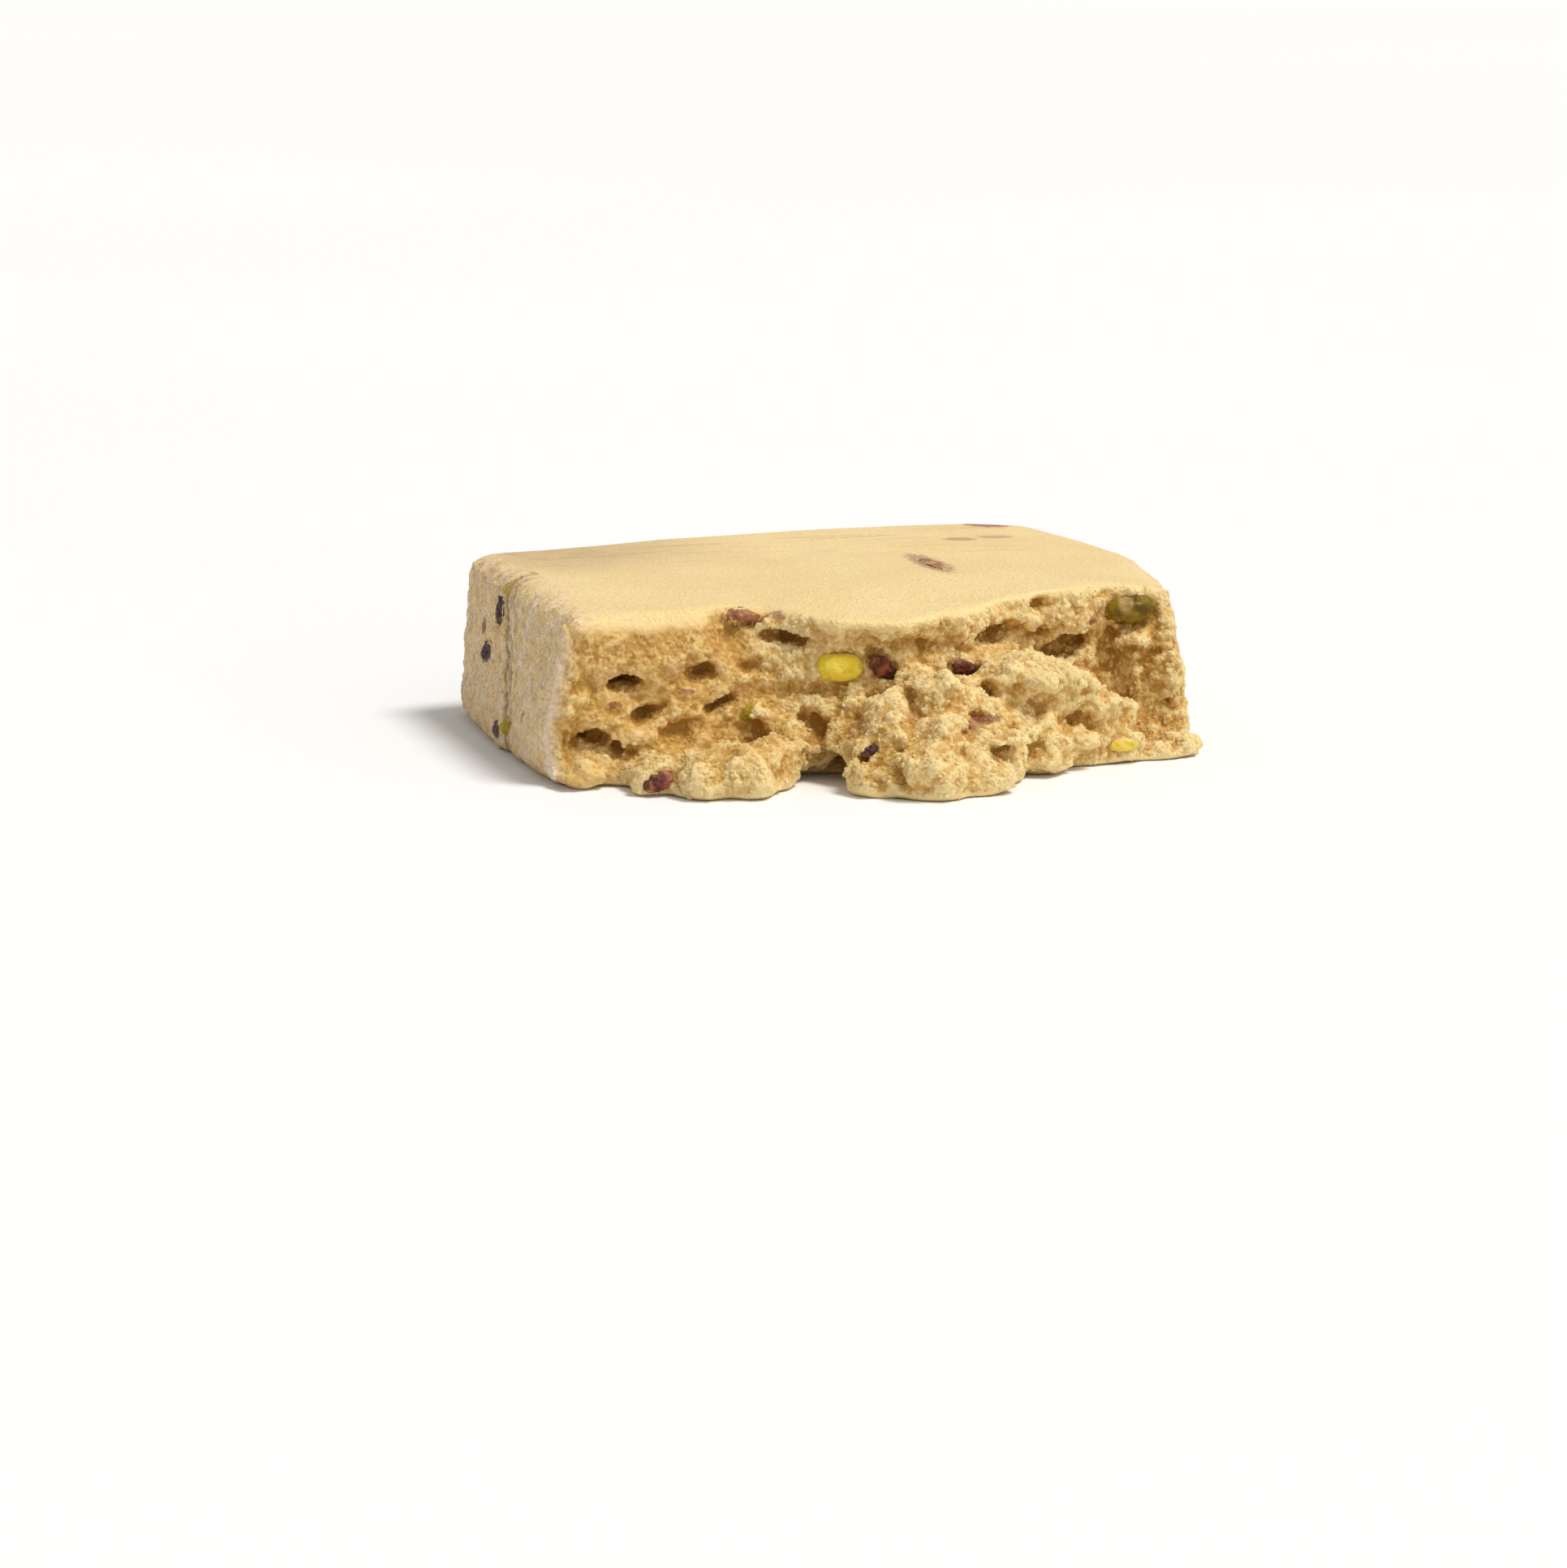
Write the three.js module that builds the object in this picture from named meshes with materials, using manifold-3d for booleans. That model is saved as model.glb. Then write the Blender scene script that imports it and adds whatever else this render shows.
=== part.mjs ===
// Half of a chewy nougat bar with chopped pistachios and cranberries in it, torn across the middle.
// A smooth skin covers its top, base, sides and back. The torn end, at -Y, is open, lumpy crumb.
// Millimetres. +X runs along the torn end, +Y from the torn end to the back, +Z up.
// The part is placed with its origin under the middle of its bounding box, on the flat base.

import * as THREE from 'three';
import { mergeVertices } from 'three/addons/utils/BufferGeometryUtils.js';
import Module from 'manifold-3d';

const wasm = await Module();
wasm.setup();

// ---------------------------------------------------------------- driving dimensions

const WIDTH = 40;           // across the top, at the torn end
const HEIGHT = 10.8;        // thickness of the bar
const LEFT_LENGTH = 27.0;   // torn end to back along the left side
const SKEW = 5.3;           // how much further back the right side reaches
const BACK_BULGE = 1.8;     // the back bows out by this much
const LEFT_EDGE = -0.25;    // where the left side meets the top
const LEFT_FLARE = 0.9;     // the sides lean out towards the base
const LEFT_BULGE = 0.7;     // the left side bows out along its base
const LEFT_BOW_AT = 13;     // where along Y it bows most
const CORNER_LEAN = 1.0;    // its corner with the torn end leans out further below the top
const CORNER_LEAN_TO = 9;   // this far back
const CORNER_LEAN_FROM_HEIGHT = 10.4;
const CORNER_LEAN_HEIGHT = 3;
const RIGHT_FLARE = 1.7;
const RIGHT_BULGE = 2.9;    // the whole right side bows out
const RIGHT_BOW_AT = 19;    // where along Y it bows most
const SIDE_REACH = 1.7;     // how far in the rounding of the edges starts
const BASE_REACH = 1.1;     // the same at the base
const CORNER_REACH = 2.3;   // the same at the back right corner
const CORNER_ACROSS = 0.55; // share of the width, and of the length, where that corner starts
const CORNER_ALONG = 0.6;
const TOP_ROUND = 1.1;      // height of the rounding under the top
const BASE_ROUND = 0.8;     // height of the rounding over the base
const BACK_BASE_ROUND = 1.1;
const BASE_CURL_FROM = 0.7; // the base curls up more from this share of the length on
const CROWN = 0.22;         // the top is this much higher in its middle
const SKIN_WAVE = 0.16;     // how uneven the skin is
const SKIN_WAVE_SIZE = 7;   // distance from one unevenness to the next
const GAP = 0.34;           // clearance round each nut and berry piece

const SLAB_FRONT = -17;     // the whole slab starts in front of all the torn crags
const SLAB_CELLS = { x: 18, y: 18, z: 6 };
const TEAR_FRONT = -30;
const TEAR_MARGIN = 1.4;    // the tear runs past the slab by this much on each side
const TEAR_CELLS = { x: 62, z: 20 };

// Where each kind of random draw starts.
const SEEDS = { broad: 3, skin: 11, clump: 21, lump: 50, hollow: 80, piece: 100 };

// ---------------------------------------------------------------- small maths

const clamp = (value, low, high) => Math.min(Math.max(value, low), high);
const mix = (from, to, share) => from + (to - from) * share;

function ease(from, to, value) {
  const share = clamp((value - from) / (to - from), 0, 1);
  return share * share * (3 - 2 * share);
}

// A smooth curve through [position, value] stations.
function through(stations) {
  return (position) => {
    const last = stations.length - 1;
    if (position <= stations[0][0]) return stations[0][1];
    if (position >= stations[last][0]) return stations[last][1];
    const next = stations.findIndex(([at]) => at > position);
    const [fromAt, fromValue] = stations[next - 1];
    const [toAt, toValue] = stations[next];
    return mix(fromValue, toValue, ease(fromAt, toAt, position));
  };
}

// A repeatable random number from 0 to 1 for a cell of space.
function cellRandom(i, j, k, seed) {
  let bits = Math.imul(i, 374761393) ^ Math.imul(j, 668265263);
  bits ^= Math.imul(k, 2147483647) ^ Math.imul(seed, 1274126177);
  bits = Math.imul(bits ^ (bits >>> 13), 1274126177);
  bits = Math.imul(bits ^ (bits >>> 15), 2246822519);
  return ((bits ^ (bits >>> 16)) >>> 0) / 4294967296;
}

// Smooth noise from -1 to 1.
function waves(x, y, z, seed) {
  const cell = [Math.floor(x), Math.floor(y), Math.floor(z)];
  const share = [x - cell[0], y - cell[1], z - cell[2]].map((value) => ease(0, 1, value));
  let sum = 0;
  for (let corner = 0; corner < 8; corner += 1) {
    const step = [corner & 1, (corner >> 1) & 1, (corner >> 2) & 1];
    const weight = step.reduce((product, up, axis) => product * (up ? share[axis] : 1 - share[axis]), 1);
    sum += weight * cellRandom(cell[0] + step[0], cell[1] + step[1], cell[2] + step[2], seed);
  }
  return 2 * sum - 1;
}

// Rounded clumps with creases between them: 1 on top of a clump, falling towards a crease.
function clumps(x, y, z, seed) {
  const cell = [Math.floor(x), Math.floor(y), Math.floor(z)];
  let nearest = 4;
  for (let i = cell[0] - 1; i <= cell[0] + 1; i += 1) {
    for (let j = cell[1] - 1; j <= cell[1] + 1; j += 1) {
      for (let k = cell[2] - 1; k <= cell[2] + 1; k += 1) {
        const dx = i + cellRandom(i, j, k, seed) - x;
        const dy = j + cellRandom(i, j, k, seed + 1) - y;
        const dz = k + cellRandom(i, j, k, seed + 2) - z;
        nearest = Math.min(nearest, dx * dx + dy * dy + dz * dz);
      }
    }
  }
  return 1 - Math.min(nearest, 1);
}

// ---------------------------------------------------------------- outline of the bar

// A bow from 0 at the torn end to 1 at a place along Y, and back to 0 as far behind it.
const bow = (y, at) => Math.max(1 - ((y - at) / at) ** 2, 0);

function cornerLean(y, z) {
  const height = ease(CORNER_LEAN_FROM_HEIGHT, CORNER_LEAN_HEIGHT, z) * ease(-2, CORNER_LEAN_HEIGHT, z);
  return CORNER_LEAN * height * (1 - ease(0, CORNER_LEAN_TO, y));
}

const leftSide = (y, z) => LEFT_EDGE - (LEFT_FLARE + LEFT_BULGE * bow(y, LEFT_BOW_AT)) * (1 - z / HEIGHT)
  - cornerLean(y, z);
const rightSide = (y, z) => WIDTH + RIGHT_BULGE * bow(y, RIGHT_BOW_AT) + RIGHT_FLARE * (1 - z / HEIGHT);

function backSide(x) {
  const share = clamp(x / WIDTH, 0, 1);
  return LEFT_LENGTH + SKEW * share + BACK_BULGE * Math.sin(Math.PI * share);
}

// How far the torn edge of the top stands out towards -Y, along X.
const topOut = through([[0, 0.2], [2.5, 0], [8, 0], [10.6, -1.9], [13.2, -0.6], [17, 3.5], [20.5, 4.3],
  [24.5, 2.5], [29, 0], [33, -1.2], [36.5, -2.5], [40, -2.3]]);

// The top dips towards the torn edge, and most where it stands out.
const edgeDip = through([[0, 0.25], [5, 0.4], [10, 0.25], [14, 0.55], [18, 0.85], [21.5, 0.85],
  [25.5, 0.55], [30, 0.2], [34, 0.08], [40, 0.2]]);
const DIP_REACH = 10;
const RIGHT_DIP = 0.16;
const RIGHT_DIP_FROM = 36;

function topDip(x, y) {
  const fromEdge = y + topOut(x);
  const atEdge = edgeDip(x) * (1 - ease(0, DIP_REACH, fromEdge));
  return atEdge + RIGHT_DIP * ease(RIGHT_DIP_FROM, WIDTH, x);
}

const crown = (x, y) => CROWN * bow(y, RIGHT_BOW_AT) * Math.sin((Math.PI * clamp(x, 0, WIDTH)) / WIDTH);
const topHeight = (x, y) => HEIGHT + crown(x, y) - topDip(x, y);

// ---------------------------------------------------------------- the slab, before it was torn

// Spreads grid lines so that they crowd at both ends of 0 to 1.
const packEnds = (share, pull) => share - (pull * Math.sin(2 * Math.PI * share)) / (2 * Math.PI);
// The same, at the far end only.
const packFar = (share, pull) => share + (pull * Math.sin(Math.PI * share)) / Math.PI;

// Pushes a point of a block out from the block's core, so that its edges are rounded.
function roundEdges(point, size, reach) {
  const core = point.map((value, axis) => clamp(value, reach[axis], size[axis] - reach[axis]));
  const offset = point.map((value, axis) => (value - core[axis]) / reach[axis]);
  const length = Math.hypot(...offset);
  if (length === 0) return point;
  const largest = Math.max(...offset.map(Math.abs));
  return core.map((value, axis) => value + (offset[axis] / length) * largest * reach[axis]);
}

function slabPoint(across, along, up) {
  const size = [WIDTH, LEFT_LENGTH - SLAB_FRONT, HEIGHT];
  const point = [across * size[0], along * size[1], up * size[2]];
  const nearCorner = ease(CORNER_ACROSS, 1, across) * ease(CORNER_ALONG, 1, along);
  const side = mix(BASE_REACH, mix(SIDE_REACH, CORNER_REACH, nearCorner), ease(0, 0.45, up));
  const atBase = mix(BASE_ROUND, BACK_BASE_ROUND, ease(BASE_CURL_FROM, 1, along));
  const height = up > 0.5 ? TOP_ROUND : atBase;
  const [roundX, roundY, z] = roundEdges(point, size, [side, side, height]);
  const shareX = roundX / WIDTH;
  const shareY = roundY / size[1];
  const y = mix(SLAB_FRONT, backSide(roundX), shareY);
  const x = mix(leftSide(y, z), rightSide(y, z), shareX);
  const high = (z / HEIGHT) ** 3;
  const place = [x, y, z].map((value) => value / SKIN_WAVE_SIZE);
  const wave = SKIN_WAVE * waves(...place, SEEDS.skin);
  return [x + wave * (2 * shareX - 1), y + wave * shareY, z + high * (wave + topHeight(x, y) - HEIGHT)];
}

// A closed box of grid cells whose vertices a function puts in their places.
function shapedBox(cellsX, cellsY, cellsZ, place) {
  const box = new THREE.BoxGeometry(1, 1, 1, cellsX, cellsY, cellsZ);
  box.deleteAttribute('normal');
  box.deleteAttribute('uv');
  const shaped = mergeVertices(box);
  const position = shaped.getAttribute('position');
  for (let vertex = 0; vertex < position.count; vertex += 1) {
    const shares = [position.getX(vertex) + 0.5, position.getY(vertex) + 0.5, position.getZ(vertex) + 0.5];
    position.setXYZ(vertex, ...place(...shares));
  }
  return shaped;
}

function slabGeometry() {
  return shapedBox(SLAB_CELLS.x, SLAB_CELLS.y, SLAB_CELLS.z,
    (x, y, z) => slabPoint(packEnds(x, 0.62), packFar(y, 0.68), packEnds(z, 0.45)));
}

// ---------------------------------------------------------------- the torn face

// How far the torn face stands out at the base, and about halfway up.
const baseOut = through([[-1, 0.6], [1.5, 1.4], [4, 2.4], [8, 3.2], [12, 2.4], [15, 1.4], [17, 1.8],
  [20, 3.6], [26, 3.6], [30, 2.2], [33.5, 1.2], [37, -0.6], [41.5, -0.8]]);
const midOut = through([[-1, 0.1], [4, 0.3], [10, 0.5], [15, 1.3], [20, 2.2], [25, 2.2], [28.5, 0.6],
  [32, -1.6], [36, -1.9], [41, -1.4]]);
const MID_HEIGHT = 6.4;

// Relief of the crumb: broad waves, then rounded clumps.
const BROAD_SIZE = 4.2;
const BROAD_DEPTH = 0.4;
const CLUMP_SIZE = 2.0;
const CLUMP_DEPTH = 0.75;

// The crumb is smeared smooth at the top left, and under the skin's roll at the left rim.
const SMEARED_TO = 11;
const SMEARED_FROM_HEIGHT = 7;
const SMEARED_RIM = 2.2;
const SMOOTHING = 0.7;

// The skin rolls over into the torn face, widely at the top left and hardly at the right.
const topRoll = through([[0, 1.9], [7, 1.7], [11, 0.6], [28, 0.5], [34, 0.3]]);
const LEFT_ROLL = 1.25;
const RIGHT_ROLL = 0.6;
const baseRoll = through([[0, 0.8], [5, 0.7], [8, 0.5], [30, 0.4]]);

function rollBack(fromRim, radius) {
  const inside = radius - clamp(fromRim, 0, radius);
  return radius - Math.sqrt(radius * radius - inside * inside);
}

// How far the skin's roll over the rims sets the torn face back.
function rimRoll(x, y, z) {
  return rollBack(topHeight(x, y) - z, topRoll(x)) + rollBack(x - leftSide(y, z), LEFT_ROLL)
    + rollBack(rightSide(y, z) - x, RIGHT_ROLL) + rollBack(z, baseRoll(x));
}

// How far the torn face stands out towards -Y at a place on it.
function tornOut(x, z) {
  const level = clamp(z, 0, HEIGHT);
  const low = mix(baseOut(x), midOut(x), ease(0, MID_HEIGHT, level));
  const out = level < MID_HEIGHT ? low : mix(midOut(x), topOut(x), ease(MID_HEIGHT, HEIGHT, level));
  const smeared = (1 - ease(SMEARED_TO - 4, SMEARED_TO, x)) * ease(SMEARED_FROM_HEIGHT, HEIGHT - 2, z);
  const nearLeft = 1 - ease(0, SMEARED_RIM, x - leftSide(-out, z));
  const crumbly = 1 - SMOOTHING * Math.max(smeared, nearLeft);
  const broad = waves(x / BROAD_SIZE, out / BROAD_SIZE, z / (0.6 * BROAD_SIZE), SEEDS.broad);
  const clump = clumps(x / CLUMP_SIZE, out / CLUMP_SIZE, z / (0.8 * CLUMP_SIZE), SEEDS.clump) - 0.75;
  return out + crumbly * (BROAD_DEPTH * broad + CLUMP_DEPTH * clump) - rimRoll(x, -out, z);
}

// Everything in front of the torn face.
function tearGeometry() {
  return shapedBox(TEAR_CELLS.x, 1, TEAR_CELLS.z, (across, along, up) => {
    const z = mix(-TEAR_MARGIN, HEIGHT + TEAR_MARGIN, packEnds(up, 0.4));
    const x = mix(leftSide(0, z) - TEAR_MARGIN, rightSide(0, z) + TEAR_MARGIN, packEnds(across, 0.2));
    return [x, along > 0.5 ? -tornOut(x, z) : TEAR_FRONT, z];
  });
}

// Lumps of nougat that stand out of the torn face: the middle of each and its half sizes.
const LUMPS = [
  { name: 'crag, core', at: [21.6, -4.6, 0.4], reach: [4.8, 6.4, 4.1] },
  { name: 'crag, left point', at: [17.8, -7.9, 0.7], reach: [2.3, 2.7, 1.9] },
  { name: 'crag, tip', at: [20.4, -9.7, 1.0], reach: [2.6, 2.8, 2.1] },
  { name: 'crag, right tip', at: [23.5, -9.2, 0.9], reach: [2.6, 2.6, 2.2] },
  { name: 'crag, right side', at: [25.8, -6.6, 1.3], reach: [2.2, 2.5, 2.2] },
  { name: 'crag, left shoulder', at: [18.7, -5.9, 2.8], reach: [2.2, 2.4, 1.9] },
  { name: 'crag, left top', at: [19.7, -4.7, 4.2], reach: [2.3, 2.2, 1.7] },
  { name: 'crag, middle top', at: [22.9, -5.0, 4.3], reach: [2.7, 2.4, 1.8] },
  { name: 'crag, shoulder', at: [21.8, -7.6, 2.9], reach: [2.6, 2.1, 1.8] },
  { name: 'crag, right shoulder', at: [24.9, -5.4, 3.7], reach: [2.1, 1.9, 1.6] },
  { name: 'crag, upper right', at: [27.5, -4.2, 3.0], reach: [2.1, 2.2, 1.6] },
  { name: 'round lobe', at: [21.7, -3.2, 5.4], reach: [1.9, 1.9, 1.6] },
  { name: 'behind the lobe', at: [24.2, -3.2, 5.1], reach: [1.8, 1.9, 1.2] },
  { name: 'ledge', at: [28.4, -2.1, 5.9], reach: [2.8, 2.6, 1.5] },
  { name: 'ledge, right end', at: [31.2, -1.6, 5.2], reach: [2.1, 2.5, 1.4] },
  { name: 'under the ledge', at: [30.2, -2.7, 3.9], reach: [2.4, 2.2, 1.5] },
  { name: 'right of the crag', at: [29.4, -3.6, 1.6], reach: [3.0, 2.8, 2.3] },
  { name: 'right of the crag, far', at: [33.2, -1.9, 1.5], reach: [3.6, 2.3, 1.9] },
  { name: 'right lobe', at: [33.5, -1.8, 3.4], reach: [2.2, 2.3, 1.6] },
  { name: 'right lobe, edge', at: [35.7, -1.4, 2.9], reach: [1.5, 1.7, 1.2] },
  { name: 'lip at the base, right', at: [32.6, -1.4, 0.2], reach: [4.4, 2.2, 0.8] },
  { name: 'lip at the base, far right', at: [38.2, -0.6, 0.2], reach: [4.4, 2.6, 0.8] },
  { name: 'clump, core', at: [9.0, -3.6, 0.5], reach: [4.4, 2.9, 2.0] },
  { name: 'clump, left', at: [6.9, -5.3, 0.8], reach: [2.1, 2.6, 1.9] },
  { name: 'clump, middle', at: [9.5, -5.9, 1.0], reach: [2.2, 2.7, 2.1] },
  { name: 'clump, right', at: [11.9, -4.2, 1.5], reach: [1.7, 2.0, 1.9] },
  { name: 'nub by the valley', at: [13.3, -2.2, 3.1], reach: [1.4, 1.6, 1.3] },
  { name: 'valley, back', at: [15.3, -0.7, 1.7], reach: [1.9, 1.9, 1.4] },
  { name: 'valley, left', at: [13.6, -2.5, 1.8], reach: [1.4, 1.7, 1.2] },
  { name: 'valley, right', at: [17.0, -3.4, 2.8], reach: [1.4, 1.8, 1.2] },
  { name: 'small clump, left', at: [4.8, -3.3, 0.6], reach: [2.2, 2.1, 1.5] },
];
const BALL_WAVES = 1.7;
const LUMP_ROUGHNESS = 0.22;
const LARGE_LUMP = 2.5;     // lumps with a longer half size than this get more faces

// A ball with merged vertices whose radius varies a little, in half sizes of its own.
function lumpyBall(detail, roughness, seed, reach) {
  const ball = new THREE.IcosahedronGeometry(1, detail);
  ball.deleteAttribute('normal');
  ball.deleteAttribute('uv');
  const lumpy = mergeVertices(ball, 1e-3);
  const position = lumpy.getAttribute('position');
  for (let vertex = 0; vertex < position.count; vertex += 1) {
    const [x, y, z] = [position.getX(vertex), position.getY(vertex), position.getZ(vertex)];
    const scale = 1 + roughness * waves(BALL_WAVES * x, BALL_WAVES * y, BALL_WAVES * z, seed);
    position.setXYZ(vertex, x * scale, y * scale, z * scale);
  }
  return lumpy.scale(...reach);
}

// Where the torn face lies along Y with its lumps.
function tornFront(x, z) {
  const fronts = LUMPS.map(({ at, reach }) => {
    const off = ((x - at[0]) / reach[0]) ** 2 + ((z - at[2]) / reach[2]) ** 2;
    return off < 1 ? at[1] - reach[1] * Math.sqrt(1 - off) : Infinity;
  });
  return Math.min(-tornOut(x, z), ...fronts);
}

// Holes and deep hollows in the torn face. tilt lifts the right end, in degrees.
const HOLLOWS = [
  { name: 'hole, upper left', x: 3.4, z: 6.3, width: 1.35, height: 0.48, depth: 1.9, tilt: 4 },
  { name: 'hole, upper right', x: 8.4, z: 6.7, width: 1.2, height: 0.42, depth: 1.7, tilt: 4 },
  { name: 'slanting hole, left', x: 4.8, z: 4.4, width: 1.6, height: 0.42, depth: 1.5, tilt: 22 },
  { name: 'slanting hole, right', x: 9.5, z: 4.8, width: 1.5, height: 0.42, depth: 1.5, tilt: 22 },
  { name: 'low hollow, left', x: 1.2, z: 2.7, width: 1.5, height: 0.62, depth: 1.8, tilt: -4 },
  { name: 'low hollow, middle', x: 3.2, z: 2.1, width: 1.2, height: 0.55, depth: 1.6, tilt: 10 },
  { name: 'shallow pocket', x: 11.4, z: 7.0, width: 1.3, height: 0.55, depth: 0.9, tilt: 10 },
  { name: 'hollow under the top', x: 13.6, z: 8.7, width: 2.1, height: 0.5, depth: 1.9, tilt: -9 },
  { name: 'hollow under the top, right', x: 28.3, z: 8.3, width: 2.8, height: 0.75, depth: 1.8, tilt: 4 },
  { name: 'deep hollow', x: 33.4, z: 6.9, width: 2.3, height: 0.85, depth: 2.1, tilt: 8 },
  { name: 'pit at the top edge', x: 31.4, z: 9.8, width: 1.0, height: 0.4, depth: 0.8, tilt: 0 },
  { name: 'hollow in the crag', x: 28.0, z: 1.9, width: 1.3, height: 0.5, depth: 1.5, tilt: 14 },
  { name: 'hole, right side', x: 38.6, z: 6.1, width: 1.0, height: 0.5, depth: 1.4, tilt: -8 },
  { name: 'hole, low right', x: 39.2, z: 3.5, width: 0.9, height: 0.5, depth: 1.3, tilt: 6 },
];

const HOLLOW_DETAIL = 1;
const HOLLOW_ROUGHNESS = 0.2;

// ---------------------------------------------------------------- nut and berry pieces

// Each piece has the side it shows on, its place on that side, and its length, width and depth.
// sink is how far its middle lies below the surface. turn rotates it in the surface, in degrees.
const PISTACHIO = 'pistachio';
const CRANBERRY = 'cranberry';
const PIECES = [
  { name: 'pistachio_torn_middle', kind: PISTACHIO, side: 'torn',
    at: [17.0, 6.9], size: [3.3, 2.0, 2.2], sink: 0.35, turn: -8 },
  { name: 'pistachio_torn_small', kind: PISTACHIO, side: 'torn',
    at: [11.4, 4.3], size: [1.7, 0.8, 1.2], sink: 0.25, turn: 24 },
  { name: 'pistachio_top_right', kind: PISTACHIO, side: 'torn',
    at: [38.0, 9.0], size: [3.6, 2.0, 2.4], sink: 0.55, turn: 8 },
  { name: 'pistachio_base_right', kind: PISTACHIO, side: 'torn',
    at: [35.5, 1.25], size: [2.6, 1.1, 1.4], sink: 0.2, turn: 6 },
  { name: 'pistachio_left_side', kind: PISTACHIO, side: 'left',
    at: [11.0, 1.9], size: [1.7, 1.0, 1.4], sink: 0.25, turn: 20 },
  { name: 'pistachio_back', kind: PISTACHIO, side: 'back',
    at: [13.5, 6.2], size: [3.2, 1.9, 2.0], sink: 0.3, turn: 30 },
  { name: 'pistachio_right_side', kind: PISTACHIO, side: 'right',
    at: [16.5, 4.4], size: [2.8, 1.8, 1.8], sink: 0.3, turn: -25 },
  { name: 'cranberry_torn_middle', kind: CRANBERRY, side: 'torn',
    at: [19.7, 6.8], size: [2.3, 1.2, 1.4], sink: 0.15, turn: -42 },
  { name: 'cranberry_by_lobe', kind: CRANBERRY, side: 'torn',
    at: [25.2, 6.5], size: [1.9, 1.0, 1.3], sink: 0.1, turn: -12 },
  { name: 'cranberry_valley', kind: CRANBERRY, side: 'torn',
    at: [17.3, 2.6], size: [2.0, 0.9, 1.2], sink: 0.2, turn: 14 },
  { name: 'cranberry_base_left', kind: CRANBERRY, side: 'torn',
    at: [4.2, 0.9], size: [2.6, 1.2, 1.5], sink: 0.3, turn: 28 },
  { name: 'cranberry_top', kind: CRANBERRY, side: 'top',
    at: [27.9, 12.6], size: [7.2, 1.3, 1.4], sink: 0.35, turn: 96 },
  { name: 'cranberry_top_edge', kind: CRANBERRY, side: 'torn',
    at: [11.7, 10.05], size: [3.2, 1.2, 1.4], sink: 0.3, turn: -4 },
  { name: 'cranberry_left_upper', kind: CRANBERRY, side: 'left',
    at: [16.6, 8.6], size: [2.0, 1.7, 1.2], sink: 0.2, turn: 84 },
  { name: 'cranberry_left_middle', kind: CRANBERRY, side: 'left',
    at: [18.8, 5.5], size: [2.5, 1.4, 1.3], sink: 0.2, turn: 24 },
  { name: 'cranberry_left_low', kind: CRANBERRY, side: 'left',
    at: [13.3, 1.3], size: [1.9, 1.2, 1.3], sink: 0.25, turn: 15 },
  { name: 'cranberry_back', kind: CRANBERRY, side: 'back',
    at: [29.5, 4.6], size: [2.6, 1.3, 1.4], sink: 0.25, turn: -20 },
  { name: 'cranberry_right_side', kind: CRANBERRY, side: 'right',
    at: [8.5, 7.0], size: [2.3, 1.2, 1.3], sink: 0.2, turn: 50 },
];
const LUMPINESS = { [PISTACHIO]: 0.1, [CRANBERRY]: 0.24 };
const PIECE_DETAIL = 1;

// The middle of a surface place, the direction out of it, and the direction along it.
const SIDES = {
  torn: ([x, z]) => ({ middle: [x, tornFront(x, z), z], out: [0, -1, 0], along: [1, 0, 0] }),
  top: ([x, y]) => ({ middle: [x, y, topHeight(x, y)], out: [0, 0, 1], along: [1, 0, 0] }),
  left: ([y, z]) => ({ middle: [leftSide(y, z), y, z], out: [-1, 0, 0], along: [0, -1, 0] }),
  right: ([y, z]) => ({ middle: [rightSide(y, z), y, z], out: [1, 0, 0], along: [0, 1, 0] }),
  back: ([x, z]) => ({ middle: [x, backSide(x), z], out: [0, 1, 0], along: [-1, 0, 0] }),
};

// A piece set into its side. extra makes it larger all round.
function pieceGeometry(piece, seed, extra) {
  const reach = piece.size.map((length) => length / 2 + extra);
  const lumpy = lumpyBall(PIECE_DETAIL, LUMPINESS[piece.kind], seed, reach);
  lumpy.rotateZ(THREE.MathUtils.degToRad(piece.turn));

  const { middle, out, along } = SIDES[piece.side](piece.at);
  const outward = new THREE.Vector3(...out);
  const sideways = new THREE.Vector3(...along);
  const upward = outward.clone().cross(sideways);
  const centre = new THREE.Vector3(...middle).addScaledVector(outward, -piece.sink);
  const placing = new THREE.Matrix4().makeBasis(sideways, upward, outward).setPosition(centre);
  return lumpy.applyMatrix4(placing);
}

function hollowGeometry(hollow, seed) {
  const reach = [hollow.width, hollow.depth, hollow.height];
  const ball = lumpyBall(HOLLOW_DETAIL, HOLLOW_ROUGHNESS, seed, reach);
  ball.rotateY(-THREE.MathUtils.degToRad(hollow.tilt));
  return ball.translate(hollow.x, tornFront(hollow.x, hollow.z), hollow.z);
}

function lumpGeometry(lump, seed) {
  const detail = Math.max(...lump.reach) > LARGE_LUMP ? 2 : 1;
  return lumpyBall(detail, LUMP_ROUGHNESS, seed, lump.reach).translate(...lump.at);
}

// ---------------------------------------------------------------- cutting and assembly

function solidOf(geometry) {
  const vertProperties = new Float32Array(geometry.getAttribute('position').array);
  const triVerts = new Uint32Array(geometry.getIndex().array);
  return new wasm.Manifold(new wasm.Mesh({ numProp: 3, vertProperties, triVerts }));
}

function geometryOf(solid) {
  const { vertProperties, triVerts } = solid.getMesh();
  const geometry = new THREE.BufferGeometry();
  geometry.setAttribute('position', new THREE.BufferAttribute(new Float32Array(vertProperties), 3));
  geometry.setIndex(new THREE.BufferAttribute(new Uint32Array(triVerts), 1));
  geometry.computeVertexNormals();
  return geometry;
}

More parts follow.
